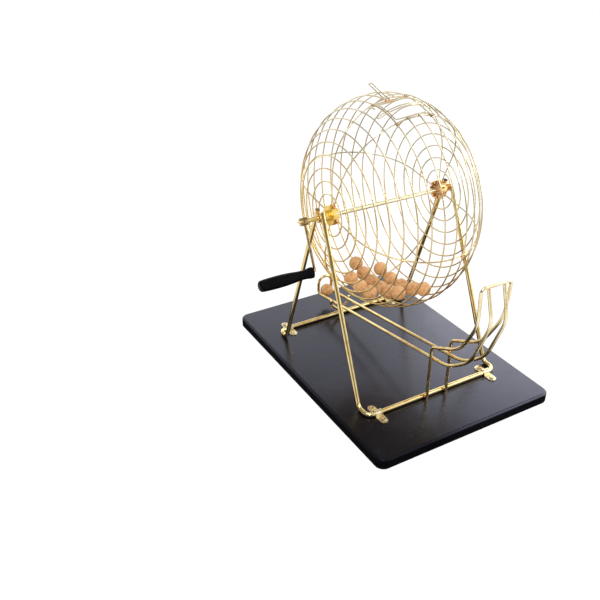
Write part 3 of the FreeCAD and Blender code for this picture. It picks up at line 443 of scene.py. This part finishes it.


# The cage wire's fade paints its lower left side golden: a painted reflection.
WIRE_BRASS = PlatedMetal(
    "brass_wire", (0.77, 0.71, 0.55), (0.69, 0.60, 0.41), (0.47, 0.39, 0.25), (0.20, 0.34), 40.0,
    fade=Fade((-0.55, 0.0, -0.80), (-0.203, -0.068), (1.11, 0.88, 0.42)),
)
ROD_BRASS = PlatedMetal(
    "brass_rod", (0.88, 0.70, 0.36), (0.80, 0.60, 0.26), (0.64, 0.45, 0.17), (0.08, 0.18),
)
SHEET_BRASS = PlatedMetal(
    "brass_sheet", (0.84, 0.76, 0.52), (0.74, 0.64, 0.40), (0.50, 0.40, 0.22), (0.22, 0.38), 160.0,
)
SCREW_BRASS = PlatedMetal(
    "brass_screw", (0.84, 0.75, 0.50), (0.72, 0.61, 0.36), (0.47, 0.37, 0.18), (0.18, 0.32), 400.0,
)
AXLE_BRASS = PlatedMetal(
    "axle_brass", (0.90, 0.84, 0.58), (0.82, 0.75, 0.48), (0.66, 0.56, 0.32), (0.26, 0.40), 260.0,
    fade=Fade((-1.0, 0.0, 0.0), (0.080, 0.092), (0.98, 0.84, 0.52)),
)
# The chute's fade paints its upper front parts paler and bluer: a painted highlight of glare, on
# the chute and the scoop.
CHUTE_BRASS = PlatedMetal(
    "chute_brass", (0.88, 0.70, 0.36), (0.80, 0.60, 0.26), (0.66, 0.46, 0.18), (0.13, 0.24),
    fade=Fade((0.0, -0.60, 0.80), (0.150, 0.215), (1.13, 1.28, 1.76)),
)
CAST_BRASS = PlatedMetal(
    "cast_brass", (0.96, 0.74, 0.26), (0.90, 0.62, 0.15), (0.66, 0.36, 0.07), (0.28, 0.42), 230.0,
)
CRANK_BRASS = PlatedMetal(
    "crank_brass", (0.56, 0.43, 0.21), (0.40, 0.29, 0.14), (0.22, 0.15, 0.08), (0.18, 0.32), 150.0,
)
# Browner, redder finish given to the right hub alone; the left hub is the same cast part.
RIGHT_HUB_BRASS = PlatedMetal(
    "right_hub_brass", (0.88, 0.58, 0.28), (0.70, 0.40, 0.16), (0.34, 0.16, 0.07), (0.26, 0.40), 260.0,
)
COPPER_BRAZE = PlatedMetal(
    "copper_braze", (0.86, 0.46, 0.20), (0.74, 0.32, 0.12), (0.46, 0.17, 0.06), (0.28, 0.44), 600.0,
)


class Paintbox:
    """Finishes by record slot, each built once."""

    def __init__(self) -> None:
        """Build every finish."""
        self.by_slot = {
            Slot.LACQUER: BlackLacquer().material(),
            Slot.ROD: ROD_BRASS.material(),
            Slot.WIRE: WIRE_BRASS.material(),
            Slot.SHEET: SHEET_BRASS.material(),
            Slot.SCREW: SCREW_BRASS.material(),
            Slot.CAST: CAST_BRASS.material(),
            Slot.CRANK: CRANK_BRASS.material(),
            Slot.GRIP: MouldedPlastic().material(),
            Slot.WOOD: TurnedWood().material(),
        }
        chute = CHUTE_BRASS.material()
        self.by_node = {
            "axle": AXLE_BRASS.material(),
            "chute_wire": chute,
            "scoop_wire": chute,
            "right_hub": RIGHT_HUB_BRASS.material(),
        }
        self.braze = COPPER_BRAZE.material()

    def dress_nodes(self) -> None:
        """Give every node its own finish, or else the finish of its slot in the record."""
        slots = {part["node"]: Slot(part["material_slot"]) for part in frame["record"]["subparts"]}
        for name, node in frame["nodes"].items():
            node.data.materials.clear()
            node.data.materials.append(self.by_node.get(name, self.by_slot[slots[name]]))
        LOG.info("dressed %d nodes", len(frame["nodes"]))


def finish_piece(
    name: str, mesh: bmesh.types.BMesh, body: Body, material: bpy.types.Material,
) -> None:
    """Make an object of a mesh, shade it smooth and let it ride on a body.

    Args:
        name: Name of the piece.
        mesh: Its mesh, which is freed.
        body: Body that it moves with.
        material: Its finish.
    """
    bmesh.ops.recalc_face_normals(mesh, faces=mesh.faces)
    for face in mesh.faces:
        face.smooth = True
    data = bpy.data.meshes.new(name)
    mesh.to_mesh(data)
    mesh.free()
    piece = bpy.data.objects.new(name, data)
    bpy.context.scene.collection.objects.link(piece)
    data.materials.append(material)
    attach(piece, body.value)
    LOG.info("built %s with %d faces", name, len(data.polygons))


def bent_tube(
    mesh: bmesh.types.BMesh, points: Sequence[Vector], radius: float, sides: int = 8,
) -> None:
    """Add a closed round tube along points to a mesh.

    Args:
        mesh: Mesh that gets the tube.
        points: Points of its centre line, close enough together to look smooth.
        radius: Radius of the tube.
        sides: Faces round the tube.
    """
    rings = []
    side = None
    for index, point in enumerate(points):
        ahead = points[min(index + 1, len(points) - 1)] - points[max(index - 1, 0)]
        ahead.normalize()
        if side is None:
            side = ahead.orthogonal().normalized()
        side = (side - ahead * side.dot(ahead)).normalized()
        other = ahead.cross(side)
        turns = [math.tau * step / sides for step in range(sides)]
        rings.append([
            mesh.verts.new(point + radius * (side * math.cos(turn) + other * math.sin(turn)))
            for turn in turns
        ])
    for first, second in zip(rings, rings[1:]):
        for step in range(sides):
            following = (step + 1) % sides
            mesh.faces.new([first[step], first[following], second[following], second[step]])
    mesh.faces.new(rings[0][::-1])
    mesh.faces.new(rings[-1])


def level_axes(half: Triple) -> list[Vector]:
    """Half-axes along X, Y and Z."""
    return [Vector((half[0], 0, 0)), Vector((0, half[1], 0)), Vector((0, 0, half[2]))]


@dataclass
class Beads:
    """Mesh of small uneven lumps, such as brazed or welded joints."""

    name: str
    unevenness: float
    seed: int
    subdivisions: int = 2
    mesh: bmesh.types.BMesh = field(default_factory=bmesh.new)

    def __post_init__(self) -> None:
        """Start the seeded random numbers that make the lumps uneven."""
        self.random = random.Random(self.seed)

    def lump(self, centre: Vector, axes: Sequence[Vector]) -> None:
        """Add one lump.

        Args:
            centre: Middle of the lump.
            axes: Its three half-axes.
        """
        matrix = Matrix([
            [axes[0][row], axes[1][row], axes[2][row], centre[row]] for row in range(3)
        ] + [[0, 0, 0, 1]])
        made = bmesh.ops.create_icosphere(self.mesh, subdivisions=self.subdivisions, radius=1.0)
        for vertex in made["verts"]:
            vertex.co *= 1.0 + self.unevenness * (self.random.random() - 0.5)
            vertex.co = matrix @ vertex.co

    def finish(self, body: Body, slot: Slot, material: bpy.types.Material) -> None:
        """Turn the lumps into one smooth piece that rides on a body."""
        finish_piece(self.name, self.mesh, body, material)


@dataclass
class AxleFrame:
    """Where the axle runs, read from its node."""

    y: float = field(init=False)
    z: float = field(init=False)

    def __post_init__(self) -> None:
        """Read the axle's place."""
        low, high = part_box("axle")
        self.y = (low.y + high.y) / 2
        self.z = (low.z + high.z) / 2

    def around(self, x: float, angle: float, radius: float) -> Vector:
        """Point at a place along the axle, an angle in degrees and a radius."""
        turn = math.radians(angle)
        return Vector((x, self.y + radius * math.cos(turn), self.z + radius * math.sin(turn)))

    def outward(self, angle: float) -> Vector:
        """Direction away from the axle at an angle in degrees."""
        turn = math.radians(angle)
        return Vector((0, math.cos(turn), math.sin(turn)))

    def forward(self, angle: float) -> Vector:
        """Direction round the axle at an angle in degrees."""
        turn = math.radians(angle)
        return Vector((0, -math.sin(turn), math.cos(turn)))

    def axes(self, angle: float, half: Triple) -> list[Vector]:
        """Half-axes away from the axle, round it and along it, at an angle in degrees."""
        return [
            self.outward(angle) * half[0], self.forward(angle) * half[1], Vector((half[2], 0, 0)),
        ]


@dataclass
class Cage:
    """Joints of the cage: welds of rings on meridians and brazing at the hubs.

    Attributes:
        axle: Where the axle runs.
        ring_count: Rings of the cage.
        wire: Thickness of the cage's wire.
        rim_radius: Radius of the rounding between the cage's barrel and its ends.
        meridians: Angles of the meridian wires.
        weld_half: Half a weld's width.
        weld_flatness: A weld's height as a share of its width.
        weld_sink: How far a weld lies inward of its ring's centre line.
        mended_weld: Ring and angle of the one weld that was brazed again.
        mended_growth: How many times larger than the others that weld is.
        hub_reach: How far outside a hub its brazing is centred.
        hub_half: Half-axes of the brazing at a hub.
    """

    axle: AxleFrame
    ring_count: int = 21
    wire: float = 0.0015
    rim_radius: float = 0.071
    meridians: tuple[float, ...] = (10.0, 90.0, 112.0, 190.0, 283.0)
    weld_half: float = 0.00105
    weld_flatness: float = 0.95
    weld_sink: float = 0.00076
    mended_weld: tuple[int, float] = (12, 190.0)
    mended_growth: float = 1.5
    hub_reach: float = 0.0002
    hub_half: Triple = (0.0019, 0.0013, 0.0017)

    def ring(self, number: int) -> tuple[float, float]:
        """Place along the axle and radius of a ring, counted from 1."""
        low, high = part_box(f"cage_ring_{number:02d}")
        return (low.x + high.x) / 2, (high.y - low.y - self.wire) / 2

    def rim_normal(self, x: float, radius: float, flat: float) -> tuple[float, float]:
        """Outward direction of the cage's outline, along the axle and away from it."""
        if radius <= flat:
            return math.copysign(1.0, x), 0.0
        length = math.hypot(x, radius - flat)
        return x / length, (radius - flat) / length

    def welds(self, paint: Paintbox) -> None:
        """Build a small weld at each crossing of a ring and a meridian."""
        beads = Beads("cage_welds", unevenness=0.16, seed=7)
        mended = Beads("cage_repair_braze", unevenness=0.22, seed=11)
        rings = [self.ring(number) for number in range(1, self.ring_count + 1)]
        flat = max(radius for _, radius in rings) - self.rim_radius
        for number, (x, radius) in enumerate(rings, start=1):
            along, away = self.rim_normal(x, radius, flat)
            for angle in self.meridians:
                outward = self.axle.outward(angle) * away + Vector((along, 0, 0))
                across = self.axle.forward(angle)
                third = outward.cross(across)
                centre = self.axle.around(x, angle, radius) - outward * self.weld_sink
                half, target = self.weld_half, beads
                if (number, angle) == self.mended_weld:
                    half, target = self.weld_half * self.mended_growth, mended
                target.lump(
                    centre, [outward * half * self.weld_flatness, across * half, third * half],
                )
        beads.finish(Body.DRUM, Slot.WIRE, paint.by_slot[Slot.WIRE])
        mended.finish(Body.DRUM, Slot.CAST, paint.braze)

    def hub_brazing(self, paint: Paintbox) -> None:
        """Build the brazing where each meridian enters a hub."""
        beads = Beads("hub_brazing", unevenness=0.20, seed=3)
        low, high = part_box("left_hub")
        radius = (high.z - low.z) / 2 + self.hub_reach
        inner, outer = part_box("cage_meridian_1")
        for x in (inner.x + self.wire / 2, outer.x - self.wire / 2):
            for angle in self.meridians:
                beads.lump(
                    self.axle.around(x, angle, radius), self.axle.axes(angle, self.hub_half),
                )
        beads.finish(Body.DRUM, Slot.CAST, paint.braze)

    def build(self, paint: Paintbox) -> None:
        """Build every joint of the cage."""
        self.welds(paint)
        self.hub_brazing(paint)


@dataclass
class Hatch:
    """Brazed joints of the hatch door and the wire twists at its front corners.

    Attributes:
        axle: Where the axle runs.
        cage: Cage that the hatch is in.
        rings: The two rings beside the hatch.
        lever_wire: Thickness of the finger lever's wire.
        lever_steps: Lumps along the sleeve, counted from the lever's middle.
        lever_step: Distance from one of these lumps to the next.
        lever_lift: Their height over the sleeve's centre line.
        lever_half: Their half-axes.
        prong_inset: How far inside the lever's end the lump on each prong lies.
        prong_lift: Its height over the sleeve's centre line.
        prong_half: Its half-axes.
        latch_angle: Angle of the latch bar.
        latch_inset: Distance of a lump on the bar from the ring beside it.
        latch_lift: How far outside that ring the lump lies.
        latch_half: Its half-axes.
        hinge_angle: Angle of the hinge rod.
        hinge_half: Half-axes of the lumps on it.
        twist_angle: Angle at which the thin wire starts.
        twist_turns: Its turns round a ring.
        twist_radius: Its radius.
        twist_spacing: Its distance from the ring's surface, in its own radii.
        twist_pitch: Its advance along the ring in one turn.
        points_per_turn: Points that draw one turn.
        tail: Length of its loose end.
        tail_points: Points that draw the loose end.
        tail_heading: Shares of the last turn's direction and of outward in the loose end's.
    """

    axle: AxleFrame
    cage: Cage
    rings: tuple[int, int] = (9, 12)
    lever_wire: float = 0.0012
    lever_steps: tuple[int, ...] = (-2, -1, 0, 1, 2)
    lever_step: float = 0.00175
    lever_lift: float = 0.0009
    lever_half: Triple = (0.0015, 0.0015, 0.0008)
    prong_inset: float = 0.0001
    prong_lift: float = 0.0004
    prong_half: Triple = (0.0010, 0.0010, 0.0008)
    latch_angle: float = 103.8
    latch_inset: float = 0.0017
    latch_lift: float = 0.0014
    latch_half: Triple = (0.0008, 0.0022, 0.0009)
    hinge_angle: float = 91.35
    hinge_half: Triple = (0.0011, 0.0013, 0.0013)
    twist_angle: float = 112.9
    twist_turns: float = 2.3
    twist_radius: float = 0.00042
    twist_spacing: float = 1.05
    twist_pitch: float = 0.00095
    points_per_turn: int = 14
    tail: float = 0.0034
    tail_points: int = 4
    tail_heading: Pair = (0.8, 0.35)

    def lever_brazing(self, paint: Paintbox) -> None:
        """Build the brazing along the sleeve where the finger lever is joined on."""
        beads = Beads("hatch_lever_braze", unevenness=0.20, seed=5)
        lever_low, lever_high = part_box("hatch_finger_lever")
        sleeve_low, sleeve_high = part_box("hatch_sleeve")
        middle = (lever_low.x + lever_high.x) / 2
        share = (middle - sleeve_low.x) / (sleeve_high.x - sleeve_low.x)
        half = (sleeve_high.y - sleeve_low.y) / 2
        y = (sleeve_low.y + sleeve_high.y) / 2
        z = sleeve_low.z + half + share * (sleeve_high.z - sleeve_low.z - 2 * half)
        for step in self.lever_steps:
            beads.lump(
                Vector((middle + step * self.lever_step, y, z + self.lever_lift)),
                level_axes(self.lever_half),
            )
        for side in (-1, 1):
            x = middle + side * (lever_high.x - lever_low.x - self.lever_wire) / 2
            beads.lump(
                Vector((x, lever_low.y + self.prong_inset, z + self.prong_lift)),
                level_axes(self.prong_half),
            )
        beads.finish(Body.HATCH, Slot.CAST, paint.braze)

    def latch_brazing(self, paint: Paintbox) -> None:
        """Build the brazing that joins the latch bar to the door's side bars."""
        beads = Beads("hatch_latch_braze", unevenness=0.18, seed=9)
        for number, inward in zip(self.rings, (1, -1)):
            x, radius = self.cage.ring(number)
            bar_x = x + inward * self.latch_inset
            beads.lump(
                self.axle.around(bar_x, self.latch_angle, radius + self.latch_lift),
                self.axle.axes(self.latch_angle, self.latch_half),
            )
        beads.finish(Body.HATCH, Slot.WIRE, paint.braze)

    def hinge_brazing(self, paint: Paintbox) -> None:
        """Build the brazing that holds the hinge rod under its two rings."""
        beads = Beads("hinge_rod_braze", unevenness=0.18, seed=13)
        for number in self.rings:
            x, radius = self.cage.ring(number)
            beads.lump(
                self.axle.around(x, self.hinge_angle, radius - self.cage.weld_sink),
                self.axle.axes(self.hinge_angle, self.hinge_half),
            )
        beads.finish(Body.DRUM, Slot.CAST, paint.braze)

    def corner_twists(self, paint: Paintbox) -> None:
        """Build the thin wire twisted round each ring just below the front meridian."""
        mesh = bmesh.new()
        loop = self.cage.wire / 2 + self.twist_radius * self.twist_spacing
        along = Vector((1, 0, 0))
        away = self.axle.outward(self.twist_angle)
        steps = round(self.twist_turns * self.points_per_turn)
        ahead_share, away_share = self.tail_heading
        for number in self.rings:
            x, radius = self.cage.ring(number)
            points = []
            for step in range(steps + 1):
                turn = math.tau * self.twist_turns * step / steps
                advance = math.degrees(self.twist_pitch * turn / math.tau / radius)
                angle = self.twist_angle + advance
                points.append(
                    self.axle.around(x, angle, radius)
                    + self.axle.outward(angle) * loop * math.sin(turn)
                    - along * loop * math.cos(turn)
                )
            last = points[-1]
            leaving = (last - points[-2]).normalized()
            for step in range(1, self.tail_points + 1):
                reach = self.tail * step / self.tail_points
                points.append(last + leaving * reach * ahead_share + away * reach * away_share)
            bent_tube(mesh, points, self.twist_radius)
        finish_piece(
            "hatch_corner_twists", mesh, Body.DRUM, paint.by_slot[Slot.CRANK],
        )

    def build(self, paint: Paintbox) -> None:
        """Build every small piece of the hatch."""
        self.lever_brazing(paint)
        self.latch_brazing(paint)
        self.hinge_brazing(paint)
        self.corner_twists(paint)


@dataclass
class Stand:
    """Brazed joints of the stand rods, the bearings, the chute and the scoop.

    Attributes:
        axle: Where the axle runs.
        rod_radius: Radius of the stand rods.
        wire_radius: Radius of the chute's and the scoop's wire.
        bearing_angles: Angles at which the two legs touch a bearing sleeve.
        bearing_shifts: Places of the lumps along the sleeve, from its middle.
        bearing_half: Half-axes of these lumps.
        rail_slope: Rise of the rails towards the front for each length.
        rail_lift: Height of the lumps over the rails' centre lines.
        rail_half: Half-axes of these lumps.
        upright_half: Half-axes of the lump between an upright and the front bar.
        rest_shift: Distance of the lumps at the rear rest's foot from its middle.
        rest_lift: Their height over the rest's lowest point.
        rest_half: Their half-axes.
        lip_y: Place of the scoop's top bar.
        lip_half: Half-axes of the lumps on that bar.
    """

    axle: AxleFrame
    rod_radius: float = 0.0025
    wire_radius: float = 0.00175
    bearing_angles: Pair = (156.25, 18.5)
    bearing_shifts: Triple = (-0.0014, 0.0, 0.0014)
    bearing_half: Triple = (0.0009, 0.0024, 0.0016)
    rail_slope: float = 0.16
    rail_lift: float = 0.0011
    rail_half: Triple = (0.0007, 0.0019, 0.0017)
    upright_half: Triple = (0.0021, 0.0008, 0.0018)
    rest_shift: float = 0.0012
    rest_lift: float = 0.0001
    rest_half: Triple = (0.0019, 0.0017, 0.0007)
    lip_y: float = -0.162
    lip_half: Triple = (0.0019, 0.0019, 0.0009)

    def bearing_brazing(self, paint: Paintbox) -> None:
        """Build the brazing between each bearing sleeve and the two legs beside it."""
        beads = Beads("bearing_braze", unevenness=0.16, seed=17)
        for name in ("left_bearing", "right_bearing"):
            low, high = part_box(name)
            radius = (high.z - low.z) / 2
            middle = (low.x + high.x) / 2
            for angle in self.bearing_angles:
                for shift in self.bearing_shifts:
                    beads.lump(
                        self.axle.around(middle + shift, angle, radius),
                        self.axle.axes(angle, self.bearing_half),
                    )
        beads.finish(Body.STAND, Slot.CAST, paint.braze)

    def rail_brazing(self, paint: Paintbox) -> None:
        """Build the brazing where the scoop's uprights and the rear rest hold the rails."""
        beads = Beads("rail_braze", unevenness=0.16, seed=19)
        front_low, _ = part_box("front_stand_rod")
        rest_low, rest_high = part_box("rear_chute_rest")
        chute_low, chute_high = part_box("chute_wire")
        rail = (chute_high.x - chute_low.x) / 2
        arch_y = chute_high.y - self.wire_radius
        arch_z = chute_low.z + self.wire_radius
        front_y = front_low.y - self.wire_radius
        rear_y = (rest_low.y + rest_high.y) / 2
        for side in (-1, 1):
            for y in (front_y, rear_y):
                z = arch_z + self.rail_lift + (arch_y - y) * self.rail_slope
                beads.lump(Vector((side * rail, y, z)), level_axes(self.rail_half))
            upright = side * (rail + self.wire_radius)
            beads.lump(
                Vector((upright, front_y + self.wire_radius, front_low.z + self.rod_radius)),
                level_axes(self.upright_half),
            )
            beads.lump(
                Vector((side * self.rest_shift, rear_y, rest_low.z + self.rest_lift)),
                level_axes(self.rest_half),
            )
        beads.finish(Body.STAND, Slot.ROD, paint.braze)

    def lip_brazing(self, paint: Paintbox) -> None:
        """Build the brazing that joins the chute's strands to the scoop's top bar."""
        beads = Beads("lip_braze", unevenness=0.16, seed=23)
        _, chute_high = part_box("chute_wire")
        _, scoop_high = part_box("scoop_wire")
        strand = chute_high.x - self.wire_radius
        for side in (-1, 1):
            beads.lump(
                Vector((side * strand, self.lip_y, scoop_high.z - 2 * self.wire_radius)),
                level_axes(self.lip_half),
            )
        beads.finish(Body.STAND, Slot.ROD, paint.braze)

    def build(self, paint: Paintbox) -> None:
        """Build every joint of the stand."""
        self.bearing_brazing(paint)
        self.rail_brazing(paint)
        self.lip_brazing(paint)


@dataclass
class Grip:
    """Mould seams of the grip, one along each side.

    Attributes:
        seam_radius: Radius of a seam.
        sink: How far its centre line lies under the grip's surface.
        seam_side: Direction from the grip's axis to a seam, along Y and Z.
        slices: Slices in which the grip's outline is read.
        least_radius: Least radius that a slice of the grip's outside can have.
    """

    seam_radius: float = 0.00016
    sink: float = 0.00010
    seam_side: Pair = (-0.55, 0.8352)
    slices: int = 26
    least_radius: float = 0.004

    def outline(self) -> list[tuple[float, float]]:
        """Places along the grip and its radius there, read from its node."""
        low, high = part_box("crank_grip")
        centre = Vector((0, (low.y + high.y) / 2, (low.z + high.z) / 2))
        vertices = [vertex.co for vertex in frame["nodes"]["crank_grip"].data.vertices]
        width = (high.x - low.x) / self.slices
        places = []
        for index in range(self.slices):
            start = low.x + index * width
            near = [
                math.hypot(co.y - centre.y, co.z - centre.z)
                for co in vertices if start <= co.x <= start + width
            ]
            if near and max(near) > self.least_radius:
                places.append((start + width / 2, max(near)))
        return places

    def build(self, paint: Paintbox) -> None:
        """Build the seams."""
        low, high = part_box("crank_grip")
        y, z = (low.y + high.y) / 2, (low.z + high.z) / 2
        side_y, side_z = self.seam_side
        mesh = bmesh.new()
        outline = self.outline()
        for side in (-1, 1):
            points = [
                Vector((
                    x,
                    y + side * (radius - self.sink) * side_y,
                    z + side * (radius - self.sink) * side_z,
                ))
                for x, radius in outline
            ]
            bent_tube(mesh, points, self.seam_radius)
        finish_piece("grip_seams", mesh, Body.GRIP, paint.by_slot[Slot.GRIP])


@dataclass
class Surround:
    """What surrounds the drum: in metal, white to the right and dimmer to the left.

    To the rear, metal and lacquer mirror a brighter wall, and high up a dark patch of ceiling.
    Diffuse surfaces are lit by an even white, and the camera sees pure white.

    Attributes:
        bright_side: Direction of the bright side.
        bright_turn: Cosines to that direction between which dim turns to white.
        dim: Brightness of the dim side.
        rear_side: Direction of the rear wall.
        rear_turn: Cosines to that direction between which the wall sets in.
        wall: How much the wall adds to the brightness.
        ceiling_lift: Heights between which the dark patch sets in.
        ceiling: How much of the brightness the patch takes away.
        ambient: Strength of the even white.
    """

    bright_side: Triple = (0.94, 0.34, 0.0)
    bright_turn: Pair = (-0.55, 0.25)
    dim: float = 0.20
    rear_side: Triple = (0.55, 0.83, 0.0)
    rear_turn: Pair = (0.25, 0.50)
    wall: float = 0.70
    ceiling_lift: Pair = (0.54, 0.62)
    ceiling: float = 0.94
    ambient: float = 0.62

    def mirrored(self, nodes: NodeTree) -> Socket:
        """How bright metal and lacquer mirror the surround in each direction."""
        direction = nodes.add("ShaderNodeTexCoord").outputs["Generated"]
        side = nodes.ranged(
            nodes.along(direction, self.bright_side), self.dim, 1.0, self.bright_turn,
        )
        rear = nodes.ranged(nodes.along(direction, self.rear_side), *UNIT, self.rear_turn)
        high = nodes.ranged(nodes.along(direction, UP), 0.0, self.ceiling, self.ceiling_lift)
        wall = nodes.calculated("ADD", 1.0, nodes.calculated("MULTIPLY", rear, self.wall))
        patch = nodes.calculated("SUBTRACT", 1.0, nodes.calculated("MULTIPLY", rear, high))
        return nodes.calculated("MULTIPLY", side, nodes.calculated("MULTIPLY", wall, patch))

    def white(self, nodes: NodeTree, strength: Socket | float) -> Socket:
        """White background of a strength."""
        background = nodes.add("ShaderNodeBackground", values={"Color": (*WHITE, 1.0)})
        nodes.feed(strength, background, "Strength")
        return background.outputs[0]

    def build(self) -> None:
        """Build the world."""
        world = bpy.data.worlds.new("surround")
        bpy.context.scene.world = world
        nodes = NodeTree.emptied(world)
        rays = nodes.add("ShaderNodeLightPath").outputs
        soft = self.white(nodes, self.ambient)
        mirrored = self.white(nodes, self.mirrored(nodes))
        unseen = nodes.blended(rays["Is Glossy Ray"], soft, mirrored)
        shown = nodes.blended(rays["Is Camera Ray"], unseen, self.white(nodes, 1.0))
        nodes.end("ShaderNodeOutputWorld", shown)


@dataclass
class Floor:
    """Plain white floor that keeps part of the drum's shadow.

    Metal and lacquer mirror it white, and dark in a band close round the board, a painted shade
    that only reflections see.

    Attributes:
        half: Half the floor's width.
        drop: How far the floor lies under the board.
        color: Colour under diffuse light.
        shadow_share: How much of the drum's shadow the camera sees.
        seen_strength: Brightness that the camera sees.
        band: Distances from the board between which the mirrored floor turns to white.
        dark: Brightness of the mirrored floor in the band, the painted shade.
    """

    half: float = 4.0
    drop: float = 0.0004
    color: Color = (0.90, 0.90, 0.90)
    shadow_share: float = 0.20
    seen_strength: float = 1.12
    band: Pair = (0.030, 0.070)
    dark: float = 0.03

    def distance(self, nodes: NodeTree) -> Socket:
        """How far a place on the floor is outside the board's outline."""
        place = nodes.add("ShaderNodeNewGeometry").outputs["Position"]
        _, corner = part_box("base_board")
        gaps = []
        for axis, half in (((1.0, 0.0, 0.0), corner.x), ((0.0, 1.0, 0.0), corner.y)):
            off = nodes.calculated("ABSOLUTE", nodes.along(place, axis))
            gaps.append(nodes.calculated("SUBTRACT", off, half))
        return nodes.calculated("MAXIMUM", *gaps)

    def material(self) -> bpy.types.Material:
        """Build the floor's material."""
        material = bpy.data.materials.new("floor")
        nodes = NodeTree.emptied(material)
        rays = nodes.add("ShaderNodeLightPath").outputs
        # Painted shade: reflections of the floor go dark close round the board.
        fading = nodes.ranged(self.distance(nodes), self.dark, 1.0, self.band)
        mirrored = nodes.calculated("MULTIPLY", rays["Is Glossy Ray"], fading)
        seen = nodes.calculated("MULTIPLY", rays["Is Camera Ray"], self.seen_strength)
        white = nodes.add("ShaderNodeEmission")
        nodes.link(nodes.calculated("ADD", mirrored, seen), white, "Strength")
        diffuse = nodes.add("ShaderNodeBsdfDiffuse", values={"Color": (*self.color, 1.0)})
        shown = nodes.calculated("MULTIPLY", rays["Is Camera Ray"], 1.0 - self.shadow_share)
        share = nodes.calculated("MAXIMUM", shown, rays["Is Glossy Ray"])
        floor = nodes.blended(share, diffuse.outputs[0], white.outputs[0])
        nodes.end("ShaderNodeOutputMaterial", floor)
        return material

    def build(self) -> None:
        """Build the floor."""
        mesh = bpy.data.meshes.new("floor")
        corners = [
            (-self.half, -self.half), (self.half, -self.half),
            (self.half, self.half), (-self.half, self.half),
        ]
        mesh.from_pydata([(x, y, -self.drop) for x, y in corners], [], [(0, 1, 2, 3)])
        floor = bpy.data.objects.new("floor", mesh)
        bpy.context.scene.collection.objects.link(floor)
        mesh.materials.append(self.material())


@dataclass(frozen=True)
class Lamp:
    """Soft lamp, a panel that points at the middle of the drum."""

    name: str
    at: Triple
    size: Pair
    power: float
    target: Triple = (0.0, 0.0, 0.12)

    def build(self) -> None:
        """Add the lamp to the scene."""
        data = bpy.data.lights.new(self.name, "AREA")
        data.shape = "RECTANGLE"
        data.size, data.size_y = self.size
        data.energy = self.power
        made = bpy.data.objects.new(self.name, data)
        made.location = self.at
        heading = Vector(self.target) - made.location
        made.rotation_euler = heading.to_track_quat("-Z", "Y").to_euler()
        bpy.context.scene.collection.objects.link(made)


@dataclass
class Studio:
    """Camera, surround, floor and lamps."""

    camera_at: Triple = (-0.4496, -0.5894, 0.5142)
    camera_turn: Triple = (59.563, 0.0, -29.725)
    lens: float = 45.09
    sensor: float = 36.0
    lamps: tuple[Lamp, ...] = (
        Lamp("key_lamp", at=(-0.68, -0.90, 1.00), size=(0.26, 0.26), power=5.0),
        Lamp("top_lamp", at=(-0.55, -0.30, 1.50), size=(0.9, 0.9), power=6.5),
        Lamp("rear_lamp", at=(1.32, 0.58, 0.80), size=(1.3, 0.6), power=5.5),
        Lamp("right_lamp", at=(0.80, -0.46, 0.50), size=(0.7, 0.7), power=4.2),
    )

    def camera(self) -> None:
        """Create the camera."""
        data = bpy.data.cameras.new("camera")
        data.lens = self.lens
        data.sensor_width = self.sensor
        made = bpy.data.objects.new("camera", data)
        made.location = self.camera_at
        made.rotation_euler = [math.radians(angle) for angle in self.camera_turn]
        bpy.context.scene.collection.objects.link(made)
        bpy.context.scene.camera = made

    def build(self) -> None:
        """Build the studio."""
        bpy.context.scene.view_settings.view_transform = "Standard"
        self.camera()
        Surround().build()
        Floor().build()
        for lamp in self.lamps:
            lamp.build()


@dataclass
class RaffleDrum:
    """The dressed drum: its finishes and every piece that only shows."""

    paint: Paintbox = field(default_factory=Paintbox)
    axle: AxleFrame = field(default_factory=AxleFrame)

    def build(self) -> None:
        """Dress the frame and build the small pieces on it."""
        self.paint.dress_nodes()
        cage = Cage(self.axle)
        cage.build(self.paint)
        Hatch(self.axle, cage).build(self.paint)
        Stand(self.axle).build(self.paint)
        Grip().build(self.paint)


def main() -> None:
    """Build the studio and the dressed drum."""
    logging.basicConfig(level=logging.INFO, format="%(name)s: %(message)s")
    Studio().build()
    RaffleDrum().build()


if __name__ == "__main__":
    main()
